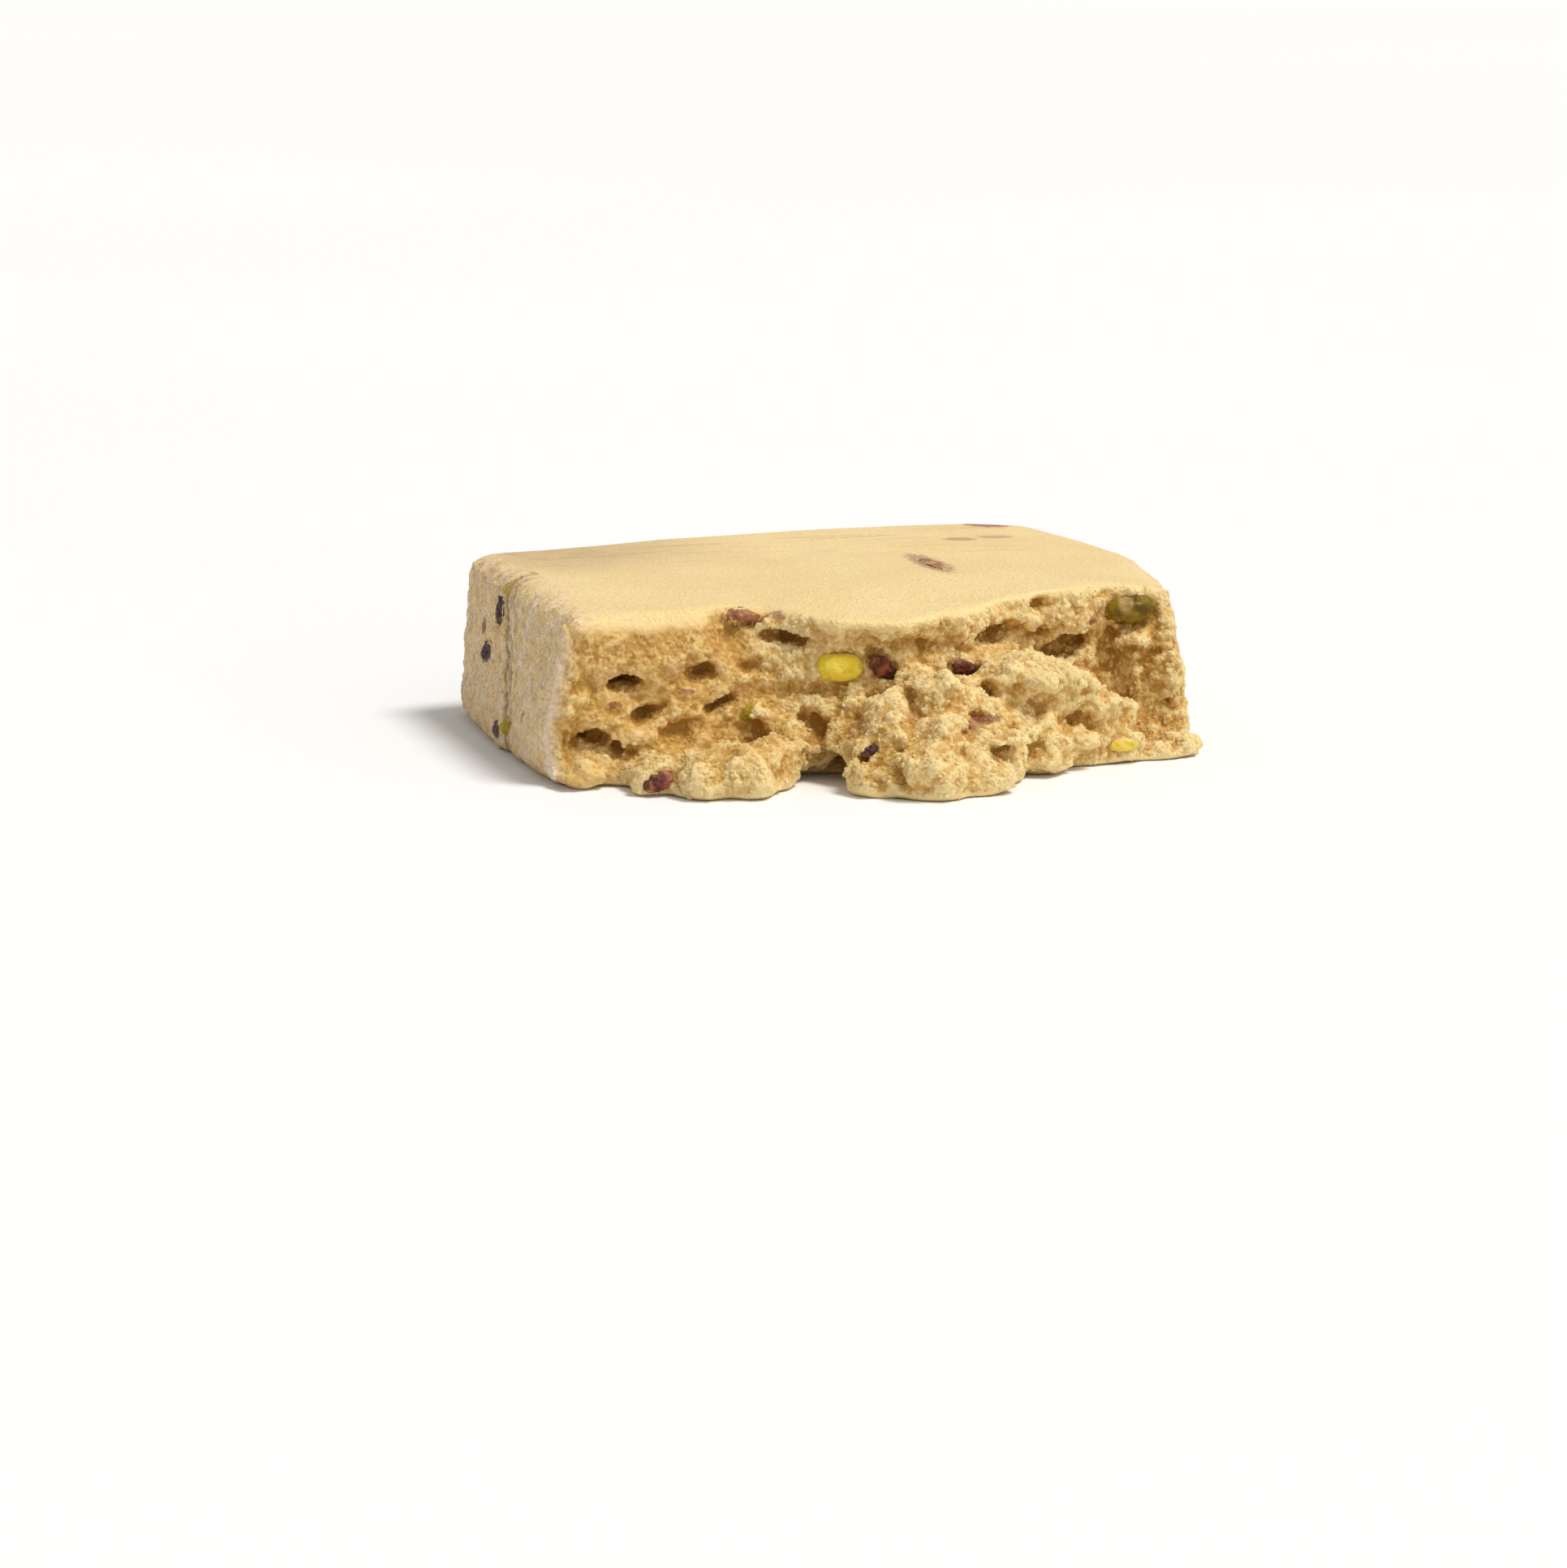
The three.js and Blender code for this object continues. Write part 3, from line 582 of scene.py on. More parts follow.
    # Painted shade: the grooves are darkened in colour, the deeper ones more.
    for at, wide, deep in GROOVES:
        line = (across - at).absolute().ramp(1.5 * wide, 0.5 * wide) * broken
        grey = net.mix(line * min(0.9, 3 * deep), grey, (0.27, 0.165, 0.095))
    skin = net.mix(side * 0.85, cream, grey)

    # Crumb: pale painted light on the tips, caramel between, golden brown painted shade in the
    # pores. It was pressed smooth where it is smeared, and has a pale rim along the left edge,
    # a painted highlight.
    tone = (net.noise(place, 0.45, 3.0, 0.6) - 0.5) * 0.5 + (fine - 0.5) * 0.45
    depth = painted_shading * 0.9 + tone * -0.7
    crumb = net.mix(depth.ramp(-0.55, 0.30), (0.84, 0.645, 0.305), (0.615, 0.362, 0.098))
    pressed = net.mix(patchy.ramp(0.4, 0.6), (0.62, 0.390, 0.118), (0.76, 0.537, 0.206))
    # Painted shade also darkens the pressed crumb in its hollows.
    pressed = net.layered(
        pressed, (fine.ramp(0.48, 0.62) * 0.4, (0.53, 0.290, 0.095)),
        (depth.ramp(-0.05, 0.4) * 0.8, (0.48, 0.235, 0.05)))
    crumb = net.layered(
        crumb, (depth.ramp(0.10, 0.8), (0.37, 0.175, 0.024)),
        (net.noise(place, 0.38).ramp(0.58, 0.72) * 0.3, (0.58, 0.34, 0.19)),
        (smeared * 0.85, pressed))
    # The pale rim along the left edge is a painted highlight.
    colour = net.layered(skin, (torn, crumb), (rim_highlight * (0.7 + patchy * 0.6), (0.88, 0.75, 0.65)))

    wobble = (net.noise(place, 2.4, 3.0, 0.65) - 0.5) * 1.3
    for *at, wide, deep, high, strength in BERRY_MARKS:
        share = spot(net, place, wobble, at, (wide, deep, high)) * strength
        colour = net.mix(share, colour, BERRY_TINT)
    for *at, wide, deep, high in SCUFFS:
        share = spot(net, place, wobble, at, (wide, deep, high)) * fibre.ramp(0.35, 0.6) * 0.6
        colour = net.mix(share, colour, SCUFF_TINT)
    for *at, wide, deep, high in NUT_MARKS:
        share = spot(net, place, wobble, at, (wide, deep, high)) * 0.7
        colour = net.mix(share, colour, NUT_TINT)

    roughness = 0.46 + (fine - 0.5) * 0.25 + torn * 0.3 + side * 0.1 - speck_and_painted_glint * 0.16
    orange_peel = (net.noise(place, 2.2, 3.0, 0.6) * 0.12 + net.noise(place, 4.5, 2.0, 0.7) * 0.10
                   + speck_and_painted_glint * 0.05 - scratch * 0.05 + streak * side * 0.04
                   + mottle * side * 0.34 + fine * side * 0.12)
    coarse = net.noise(place, 0.8).ramp(0.4, 0.6, 0.35, 1.0)
    grains = ((1 - net.cells(place, 3.6, 0.4)) * 0.11 * coarse
              + net.noise(place, 6.0, 3.0, 0.7) * 0.08 * coarse)
    height = orange_peel + (grains - orange_peel) * torn
    finish_shader(net, principled, colour, roughness, height, 0.9)
    return material


def crusted(net, colour, fine):
    """A piece's colour, with nougat over it where its attribute says."""
    share = (net.attribute("crust") + (fine - 0.5) * 1.2).ramp(0.35, 0.65)
    return net.mix(share, colour, net.mix(fine, (0.68, 0.44, 0.15), (0.86, 0.64, 0.28)))


def pistachio_material():
    material, net, principled = shader(
        "pistachio", Subsurface_Weight=0.3, Subsurface_Radius=(1.0, 0.8, 0.25),
        Subsurface_Scale=0.0010, IOR=1.46, Specular_IOR_Level=0.16)
    place = millimetres(net)
    patchy = net.noise(place, 0.9, 3.0, 0.6)
    fine = net.noise(place, 4.5, 3.0, 0.65)
    yellow = net.mix(patchy.ramp(0.35, 0.68), (0.82, 0.60, 0.030), (0.88, 0.69, 0.10))
    yellow = net.mix(fine.ramp(0.5, 0.75) * 0.3, yellow, (0.50, 0.38, 0.03))
    green = net.mix(patchy.ramp(0.38, 0.6), (0.125, 0.074, 0.003), (0.26, 0.165, 0.012))
    cut_face = spot(net, place, (patchy - 0.5) * 0.8, (37.5, 0.5, 9.6), (0.6, 2.5, 0.9))
    green = net.mix(cut_face * 0.75, green, (0.42, 0.28, 0.10))
    colour = crusted(net, net.mix(net.attribute("olive"), yellow, green), fine)
    finish_shader(net, principled, colour, 0.36 + (fine - 0.5) * 0.3,
                  patchy * 0.12 + fine * 0.03, 0.7)
    return material


def cranberry_material():
    material, net, principled = shader(
        "cranberry", Subsurface_Weight=0.15, Subsurface_Radius=(1.0, 0.25, 0.2),
        Subsurface_Scale=0.0008, IOR=1.46, Specular_IOR_Level=0.32)
    place = millimetres(net)
    faded = net.attribute("faded")
    patchy = net.noise(place, 1.1, 3.0, 0.6)
    fine = net.noise(place, 5.0, 3.0, 0.65)
    dark = net.mix(patchy.ramp(0.38, 0.66), (0.10, 0.026, 0.020), (0.36, 0.10, 0.046))
    dark = net.layered(dark, (fine.ramp(0.6, 0.75) * 0.5, (0.52, 0.22, 0.11)),
                       (net.attribute("deep") * 0.88, (0.030, 0.008, 0.012)))
    dusty = net.mix(patchy.ramp(0.4, 0.62), (0.34, 0.13, 0.055), (0.57, 0.32, 0.15))
    dusty = net.mix(fine.ramp(0.5, 0.66) * 0.6, dusty, (0.74, 0.50, 0.26))
    finish_shader(net, principled, crusted(net, net.mix(faded, dark, dusty), fine),
                  0.4 + (fine - 0.5) * 0.3 + faded * 0.15, patchy * 0.22 + fine * 0.05, 0.8)
    return material


NOUGAT = nougat_material()
PISTACHIO = pistachio_material()
CRANBERRY = cranberry_material()

# ---- nut and berry pieces

# For each piece: the side it shows on, how far its middle lies below that side, and what
# isn't as usual: its size against its solid's, how far out from its middle it is bare of
# nougat (its outline is at 1), its least crust of nougat, how rough it is, its tints from
# 0 to 1, and the side it lies on.
USUAL = {"pistachio": {"size": 1.06, "bare": 0.85, "crust": 0.0, "rough": 0.16, "olive": 0.0},
         "cranberry": {"size": 1.06, "bare": 0.85, "crust": 0.0, "rough": 0.24, "faded": 0.0,
                       "deep": 0.0}}
PIECES = {
    "pistachio_torn_middle": ("torn", 0.35, {"bare": 0.82}),
    "pistachio_torn_small": ("torn", 0.25, {"size": 1.25, "olive": 0.7}),
    "pistachio_top_right": ("torn", 0.55, {"olive": 1.0}),
    "pistachio_base_right": ("torn", 0.2, {"bare": 0.5, "crust": 0.44}),
    "pistachio_left_side": ("left", 0.25, {"rough": 0.22, "olive": 0.5}),
    "pistachio_back": ("back", 0.3, {"olive": 0.3}),
    "pistachio_right_side": ("right", 0.3, {"olive": 0.3}),
    "cranberry_torn_middle": ("torn", 0.15, {}),
    # The deep tint of the next two berries is partly their own dark colour and partly painted
    # shade of the gap and the valley they lie in.
    "cranberry_by_lobe": ("torn", 0.1, {"bare": 0.75, "deep": 0.6}),
    "cranberry_valley": ("torn", 0.2, {"deep": 0.75}),
    "cranberry_base_left": ("torn", 0.3, {"size": 0.88}),
    "cranberry_top": ("top", 0.35, {"bare": 0.65, "faded": 0.85}),
    "cranberry_top_edge": ("torn", 0.3, {"lies": "edge", "size": 1.0, "bare": 0.6, "crust": 0.22,
                                         "rough": 0.16, "faded": 0.45}),
    "cranberry_left_upper": ("left", 0.2, {"rough": 0.22, "deep": 1.0}),
    "cranberry_left_middle": ("left", 0.2, {"rough": 0.22, "deep": 1.0}),
    "cranberry_left_low": ("left", 0.25, {"rough": 0.22, "deep": 1.0}),
    "cranberry_back": ("back", 0.25, {"faded": 0.4}),
    "cranberry_right_side": ("right", 0.2, {}),
}
OUTWARD = {"torn": (0, -1, 0), "top": (0, 0, 1), "left": (-1, 0, 0), "right": (1, 0, 0),
           "back": (0, 1, 0), "edge": (0, -0.5, 0.85)}
# How far a piece stands out of the side it lies on, how far its outline is sunk below
# that, and how much a berry fades there.
PROUD = {"top": 0.04, "edge": -0.04, "left": 0.09, "right": 0.05, "back": 0.05}
EDGE_SINK = {"top": 0.22, "edge": 0.28, "left": 0.08, "right": 0.1, "back": 0.1}
EDGE_FADE = {"top": 0.8, "edge": 0.35}
USUAL_FADE = 0.25
# Where the search for the body's surface starts over a piece's own, and how far it goes.
LAY_FROM, LAY_REACH = 2.0, 2.35
# A filled pocket: how far it reaches out past its piece, and how far its front is set back
# from the piece's, and its top from the skin.
PLUG_REACH, SIDE_PLUG_REACH, PLUG_FRONT, PLUG_TOP = 0.45, 0.9, 0.15, 0.12


def level_with_skin(points, side, skin_offset):
    """Moves points that stand out of one side of the skin back to it."""
    depth = depths(points)[side] - skin_offset
    outward = np.array(OUTWARD[side], float)
    return points + outward * np.minimum(depth, 0)[:, None]


def skin_offset_near(body_points, centre, side, reach=4.0, close=0.35):
    """How far the skin lies below its smooth outline round a place."""
    near = body_points[np.linalg.norm(body_points - centre, axis=1) < reach]
    depth = depths(near)[side]
    depth = depth[np.abs(depth) < close]
    return float(depth.mean()) if len(depth) else 0.0


def plug(node, body_points):
    """Fills the pocket round a piece, level with the surface it shows on."""
    side, sink, _ = PIECES[node]
    filler = merged_copy(node, "plug " + node)
    reach = PLUG_REACH if side == "torn" else SIDE_PLUG_REACH
    points = bar_points(filler.data) + reach * normals_of(filler.data)
    centre = (points.min(0) + points.max(0)) / 2
    if side == "torn":
        points[:, 1] = np.maximum(points[:, 1], centre[1] - sink + PLUG_FRONT)
        points = level_with_skin(points, "top", PLUG_TOP)
    else:
        points = level_with_skin(points, side, skin_offset_near(body_points, centre, side))
    set_bar_points(filler.data, points)
    return filler


# ---- the nougat

# Lumps of crumb that stand out of the torn end: place and half sizes.
LUMPS = (
    (0.4, -0.9, 0.85, 1.9, 1.5, 0.95), (29.3, -4.1, 6.0, 3.0, 1.8, 1.35),
    (32.2, -3.0, 5.0, 1.6, 1.6, 1.0), (34.3, -2.6, 3.7, 1.7, 1.5, 0.9),
    (22.1, -5.6, 5.8, 1.5, 1.8, 1.15), (17.3, -8.6, 0.7, 1.6, 2.0, 1.1),
    (18.6, -6.6, 3.2, 1.8, 1.8, 1.4), (20.6, -9.4, 1.7, 2.4, 1.9, 1.6),
    (24.4, -8.4, 1.8, 1.9, 1.9, 1.5), (21.6, -8.0, 3.3, 1.6, 1.4, 1.0),
    (12.4, -1.3, 4.0, 1.6, 1.2, 0.8), (14.2, -1.5, 2.5, 1.5, 1.4, 0.8),
    (15.6, -1.3, 4.6, 1.6, 1.1, 0.7), (17.4, -1.8, 4.4, 2.0, 1.5, 1.0),
    (15.3, -1.7, 1.8, 1.6, 1.6, 1.1), (13.5, -3.1, 2.0, 1.2, 1.4, 1.0),
    (16.9, -3.2, 3.0, 1.3, 1.6, 1.0), (17.2, -5.2, 2.2, 1.2, 1.5, 1.1),
    (7.2, -6.0, 1.6, 1.0, 1.0, 0.8), (9.0, -6.8, 1.4, 1.1, 1.0, 0.9),
    (10.9, -5.9, 1.9, 1.0, 1.0, 0.8), (11.9, -4.9, 2.5, 0.9, 0.9, 0.8),
    (8.6, -5.6, 2.5, 1.0, 0.9, 0.7), (6.0, -5.6, 0.9, 0.8, 0.8, 0.6),
    (27.2, -3.9, 4.4, 1.3, 1.3, 0.8), (30.6, -3.6, 3.9, 1.5, 1.2, 0.8),
    (28.4, -5.0, 2.9, 1.5, 1.3, 0.8), (31.4, -4.0, 1.9, 1.7, 1.4, 0.9),
    (38.9, -1.0, 4.9, 0.9, 0.9, 0.7), (39.9, -1.6, 1.0, 1.1, 1.2, 0.6),
    (25.3, -8.8, 3.2, 1.7, 1.6, 0.55), (28.9, -5.0, 1.0, 2.0, 1.6, 1.1),
    (38.2, 1.9, 6.7, 1.2, 1.0, 0.75), (39.0, 1.9, 3.8, 1.0, 1.0, 0.6),
    (40.3, 1.3, 4.7, 1.2, 0.9, 1.8),
)
# Broad scoops that set parts of the torn end back, before it gets its relief: place across
# and up, half width, half height, depth, tilt.
SCOOPS = (
    (36.8, 6.4, 3.6, 2.0, 1.1, 0), (30.2, 7.6, 3.6, 0.8, 1.5, -11), (22.0, 8.1, 4.2, 0.6, 0.8, -3),
    (1.9, 2.9, 2.3, 0.8, 0.9, 5), (7.4, 3.5, 2.8, 0.6, 0.7, 8), (20.5, 5.6, 0.5, 1.2, 1.4, -10),
    (25.9, 5.6, 0.6, 1.1, 1.1, 15), (25.1, 2.2, 1.5, 0.5, 1.4, -4), (23.6, 4.2, 2.4, 0.35, 0.9, 6),
    (13.9, 5.7, 2.0, 0.4, 0.5, 8), (32.0, 3.1, 2.4, 0.35, 0.7, 12), (36.4, 3.2, 2.6, 0.4, 0.6, 10),
)
# Pores and hollows of the torn end: place across and up, half width, half height, depth, tilt.
PORES = (
    (3.4, 6.3, 1.3, 0.42, 1.8, 4), (8.4, 6.7, 1.2, 0.42, 1.7, 6), (2.5, 4.8, 0.65, 0.28, 0.6, 5),
    (4.8, 4.3, 1.45, 0.36, 1.3, 24), (9.5, 4.8, 1.45, 0.36, 1.3, 22),
    (12.8, 6.7, 0.7, 0.42, 0.9, 10), (14.9, 8.3, 1.6, 0.4, 1.4, -8),
    (15.2, 6.9, 0.55, 0.22, 0.8, 0), (0.9, 2.7, 1.1, 0.6, 1.6, 0), (2.7, 2.1, 0.9, 0.5, 1.4, 10),
    (4.3, 2.2, 0.9, 0.36, 0.9, 20), (5.7, 3.6, 0.4, 0.36, 0.8, 0), (6.9, 2.9, 0.9, 0.5, 1.2, 12),
    (9.3, 2.8, 1.1, 0.36, 1.0, -8), (6.2, 5.4, 0.32, 0.18, 0.4, 10),
    (1.2, 6.3, 0.25, 0.16, 0.3, 0), (5.9, 6.9, 0.34, 0.16, 0.4, 5), (10.6, 7.3, 0.4, 0.18, 0.4, 8),
    (0.9, 4.9, 0.3, 0.2, 0.4, 0), (3.3, 7.7, 0.3, 0.14, 0.3, 0), (11.4, 5.9, 0.5, 0.22, 0.6, 15),
    (7.6, 3.9, 0.42, 0.22, 0.6, 20), (6.6, 7.9, 0.24, 0.12, 0.3, 0),
    (8.9, 8.6, 0.3, 0.14, 0.3, 30), (31.3, 9.75, 1.5, 0.28, 1.0, 2),
    (35.1, 8.5, 0.6, 0.22, 0.8, 0), (30.0, 7.3, 2.9, 0.42, 1.6, -11),
    (33.0, 6.4, 1.6, 0.3, 0.9, -14), (40.2, 3.0, 0.6, 0.16, 0.9, 8),
    (39.8, 1.3, 0.7, 0.14, 0.8, 10), (20.5, 5.4, 0.18, 1.0, 1.2, -8),
    (23.6, 4.0, 2.1, 0.16, 0.9, 8), (25.1, 2.3, 1.3, 0.4, 2.7, -4), (17.4, 2.4, 0.8, 0.4, 1.0, 20),
    (15.0, 3.3, 1.1, 0.16, 0.9, 14), (25.8, 4.9, 0.16, 1.0, 0.8, 12),
    (22.5, 8.2, 1.1, 0.2, 0.8, -6), (25.6, 7.6, 1.2, 0.22, 0.9, -14),
    (18.8, 8.4, 0.7, 0.18, 0.6, 8), (29.9, 3.1, 1.1, 0.18, 0.9, 14),
    (36.2, 4.9, 1.1, 0.12, 0.6, 24),
)
SHAPE_VOXEL, RELIEF_VOXEL, FINE_VOXEL = 0.20 * MM, 0.18 * MM, 0.12 * MM
# The fine grains on the torn face: their sizes and their seed.
GRAIN_KINDS = {
    "crumb_grains": ({"Spacing": 0.27, "Smallest": 0.08, "Largest": 0.25, "Patch Size": 1.3}, 9),
    "crumb_specks": ({"Spacing": 0.19, "Smallest": 0.05, "Largest": 0.14, "Patch Size": 1.3}, 13)
}
# Corners of a grain, and how much less painted shade a grain has than the ground under it.
GRAIN_CORNERS, GRAIN_LESS_PAINTED_SHADE = 12, 0.25
# How deep a crumb is sunk, as a share of its size, and how far crumbs keep off the pieces.
CRUMB_SINK, CRUMB_CLEARANCE = 0.35, 0.14
# Rounds of smoothing of the skin, before and after its fine relief.
SKIN_ROUNDS, FINE_SKIN_ROUNDS = 9, 10
MOST_FACES = 194000
# Small pores: how many in the sponge and anywhere, and their seed.
SPONGE_PORES, OTHER_PORES, PORE_SEED = 45, 60, 7
# The way a hollow goes in, and how much of their depth the pores keep.
INWARDS = np.array((0, 0.96, 0.3))
PORE_SHARE = 0.65
# A place along y in front of everything.
IN_FRONT = -30
# Painted shade that hollows of two sizes put on the crumb, with painted light on ridges: rounds
# of blurring that show them, the depth that counts as full, and the share of it.
HOLLOW_SCALES = ((8, 0.05, 0.24), (70, 0.36, 0.56))
# Painted shade over the spongy part, the most painted shade in all, painted shade in the recess at
# the right and in the valley, and painted light on the crag's knob.
SPONGE_PAINTED_SHADE, MOST_PAINTED_SHADE, RECESS_PAINTED_SHADE, VALLEY_PAINTED_SHADE, KNOB_PAINTED_LIGHT = 0.32, 0.66, 0.22, 0.25, 0.18


def voxel(piece, size):
    """The piece made anew from voxels."""
    remesh = piece.modifiers.new("voxels", "REMESH")
    remesh.mode = "VOXEL"
    remesh.voxel_size = size
    remesh.use_smooth_shade = True
    return baked(piece)


def torn_share(points):
    """0 on the skin, rising to 1 in the torn face."""
    depth = depths(points)
    x, y = points[:, 0], points[:, 1]
    behind_edge = y + through(TOP_OUT, x)
    crisp = ease(0.02, 0.22, depth["top"]) * (1 - ease(0.25, 0.55, behind_edge))
    crisp = np.maximum(crisp, ease(0.3, 0.6, depth["top"]))
    rolled = ease(0.3, 1.3, depth["top"])
    top = rolled + (crisp - rolled) * ease(7, 11, x)
    right = np.maximum(ease(-0.1, 0.25, depth["right"]),
                       ease(-1.0, -0.5, depth["right"]) * (1 - ease(0.5, 2.5, y)))
    share = np.minimum.reduce([top, ease(0.12, 0.6, depth["left"]), right,
                               ease(0.1, 0.5, depth["base"])])
    return share * (1 - ease(3.5, 6.0, y))


def side_share(points, spread=1.0):
    """1 on the upright sides, 0 on the top and base. spread widens it over the left edge."""
    depth = depths(points)
    nearest = np.minimum.reduce([depth["left"] / spread, depth["right"], depth["back"]])
    return 1 - ease(0.15, 1.1, nearest)


def spongy_share(points):
    """1 in the part of the torn face that has clear pores and few crumbs."""
    x, z = points[:, 0], points[:, 2]
    return (1 - ease(10, 14, x)) * ease(1.8, 3.2, z)


def smeared_share(points):
    """1 where the crumb was pressed smooth: high at the left, and the lip at the lower left."""
    x, z = points[:, 0], points[:, 2]
    high = (1 - ease(8.5, 11.5, x)) * ease(7.0, 8.2, z)
    lip = (1 - ease(1.8, 3.4, x)) * (1 - ease(1.4, 2.2, z))
    return np.maximum(high, lip)


def uneven_ball(at, reach):
    """An uneven ellipsoid at a place of the bar."""
    ball = bmesh.new()
    bmesh.ops.create_icosphere(ball, subdivisions=3, radius=1.0)
    shift = Vector(at) * 0.7
    for vertex in ball.verts:
        vertex.co *= max(0.3, 1 + 0.5 * noise.fractal(vertex.co * 1.9 + shift, 0.6, 2.0, 4))
    place = Matrix.Translation(Vector(from_bar(at))) @ Matrix.Diagonal((*(Vector(reach) * MM), 1))
    bmesh.ops.transform(ball, matrix=place, verts=ball.verts)
    mesh = bpy.data.meshes.new("ball")
    ball.to_mesh(mesh)
    ball.free()
    return new_object("ball", mesh)


def front_at(tree, x, z):
    """Where the torn end lies along Y at a place across and up."""
    hit = tree.ray_cast(Vector(from_bar((x, IN_FRONT, z))), Vector((0, 1, 0)))[0]
    return to_bar(np.array(hit))[1]


def bent_places(points):
    """Two uneven shifts for each point, each from about -1 to 1."""
    return np.array([[noise.fractal(Vector((x * 0.9 + start, y * 0.3, z * 0.9)), 0.45, 2.0, 4)
                      for start in (0, 40)] for x, y, z in points])


def small_pores(points, rng):
    """Small pores at random places, most of them in the spongy part."""
    torn = points[torn_share(points) > 0.9]
    sponge = torn[spongy_share(torn) > 0.5]
    pores = []
    for places, count in ((sponge, SPONGE_PORES), (torn, OTHER_PORES)):
        for _ in range(count):
            x, _, z = places[rng.integers(len(places))]
            wide = rng.uniform(0.2, 0.55)
            pores.append((x, z, wide, rng.uniform(0.10, 0.2) + 0.1 * wide, rng.uniform(0.3, 0.6),
                          rng.uniform(-8, 28)))
    return tuple(pores)


def sunk_by(hollows, points, bend, tree, steep):
    """How deep the hollows reach at each point. Below its middle a hollow rises gently."""
    sunk = np.zeros(len(points))
    x, y, z = points.T
    for at_x, at_z, wide, high, deep, tilt in hollows:
        turn = math.radians(tilt)
        across, above = x - at_x, z - at_z
        right = (across * math.cos(turn) + above * math.sin(turn)) / wide + 0.4 * bend[:, 0]
        up = (above * math.cos(turn) - across * math.sin(turn)) / high + 0.55 * bend[:, 1]
        up = np.where(up < 0, up * 0.5, up)
        inside = np.clip(1 - right ** 2 - up ** 2, 0, 1) ** steep
        near = 1 - ease(0.9, 1.9, np.abs(y - front_at(tree, at_x, at_z)))
        sunk = np.maximum(sunk, deep * inside * near)
    return sunk


def dented(solid):
    """Sinks the hollows and pores into the torn end, rising a little inwards."""
    tree = tree_of(solid)
    points = bar_points(solid.data)
    torn = torn_share(points)
    chosen = np.nonzero(torn > 0.02)[0]
    places = points[chosen]
    bend = bent_places(places)
    sunk = sunk_by(SCOOPS, places, bend, tree, 1.6)
    pores = PORES + small_pores(points, np.random.default_rng(PORE_SEED))
    sunk += PORE_SHARE * sunk_by(pores, places, bend, tree, 0.9)
    points[chosen] += (sunk * torn[chosen])[:, None] * INWARDS
    set_bar_points(solid.data, points)
    return solid


def clearance(points, trees, full):
    """0 on the surfaces in trees, rising to 1 at a distance of full millimetres."""
    clear = np.ones(len(points))
    world = from_bar(points)
    for index in np.nonzero(torn_share(points) > 0.02)[0]:
        for tree in trees:
            distance = tree.find_nearest(Vector(world[index]), full * MM)[3]
            if distance is not None:
                clear[index] = min(clear[index], distance / MM / full)
    return clear


def crumb_amount(mesh, piece_trees):
    """How densely crumbs lie, from 0 to 1: few on sponge and in hollows, none on nuts."""
    points = bar_points(mesh)
    return (torn_share(points) * clearance(points, piece_trees, CRUMB_CLEARANCE)
            * (1 - 0.5 * hollowness(mesh, 20, 0.3)) * (1 - 0.85 * spongy_share(points))
            * (1 - smeared_share(points)))


def below_ground(mesh, points, rounds):
    """How far vertices lie below the surface that rounds of blurring leave."""
    away = blurred(points, edges_of(mesh), rounds) - points
    return np.einsum("ij,ij->i", away, normals_of(mesh))


def hollowness(mesh, rounds, full):
    """How deep vertices lie in hollows, from 0 on open ground to 1."""
    return np.clip(below_ground(mesh, bar_points(mesh), rounds) / full, 0, 1)


def make_body():
    """The nougat: its solid with lumps, hollows, relief and crumb, as one fused mesh."""
    body = merged_copy("nougat", "nougat_bar")
    cad_points = bar_points(body.data)
    plugs = [plug(node, cad_points) for node in PIECES]
    lumps = [uneven_ball(at, (wide, deep, high)) for *at, wide, deep, high in LUMPS]
    solid = voxel(joined([body] + plugs + lumps, "nougat_bar"), SHAPE_VOXEL)
    solid = voxel(dented(solid), RELIEF_VOXEL)
    even_skin(solid.data, SKIN_ROUNDS)

    points = bar_points(solid.data)
    torn = torn_share(points) * (1 - 0.25 * smeared_share(points))
    open_ground = 1 - 0.6 * hollowness(solid.data, 30, 0.6)
    set_attribute(solid.data, "relief", torn * open_ground * (1 - 0.4 * spongy_share(points)))
    add_shape(solid, relief_tree(), COARSE_RELIEF)
    solid = voxel(baked(solid), RELIEF_VOXEL)

    piece_trees = [tree_of(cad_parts[node]) for node in PIECES]
    set_attribute(solid.data, "crumbs", crumb_amount(solid.data, piece_trees))
    crumbs = new_object("crumbs", solid.data.copy())
    add_shape(crumbs, crumb_tree(), CRUMBS, Bare=0.06, Sink=CRUMB_SINK, Seed=5)
    body = voxel(joined([solid, baked(crumbs)], "nougat_bar"), FINE_VOXEL)
    points = bar_points(body.data)
    set_attribute(body.data, "relief", torn_share(points) * (1 + 0.35 * smeared_share(points)))
    add_shape(body, relief_tree(), FINE_RELIEF)
    body = baked(body)
    even_skin(body.data, FINE_SKIN_ROUNDS)
    roughen_sides(body)

    ratio = MOST_FACES / (2 * len(body.data.polygons))
    if ratio < 1:
        thin = body.modifiers.new("fewer faces", "DECIMATE")
        thin.ratio = ratio
        body = baked(body)
    return body, piece_trees


def even_skin(mesh, rounds):
    """Smooths the skin, not the torn face."""
    points = bar_points(mesh)
    smooth = blurred(points, edges_of(mesh), rounds)
    points += (smooth - points) * np.clip(1.15 - torn_share(points), 0, 1)[:, None]
    points[:, 2] = np.maximum(points[:, 2], 0)
    set_bar_points(mesh, points)


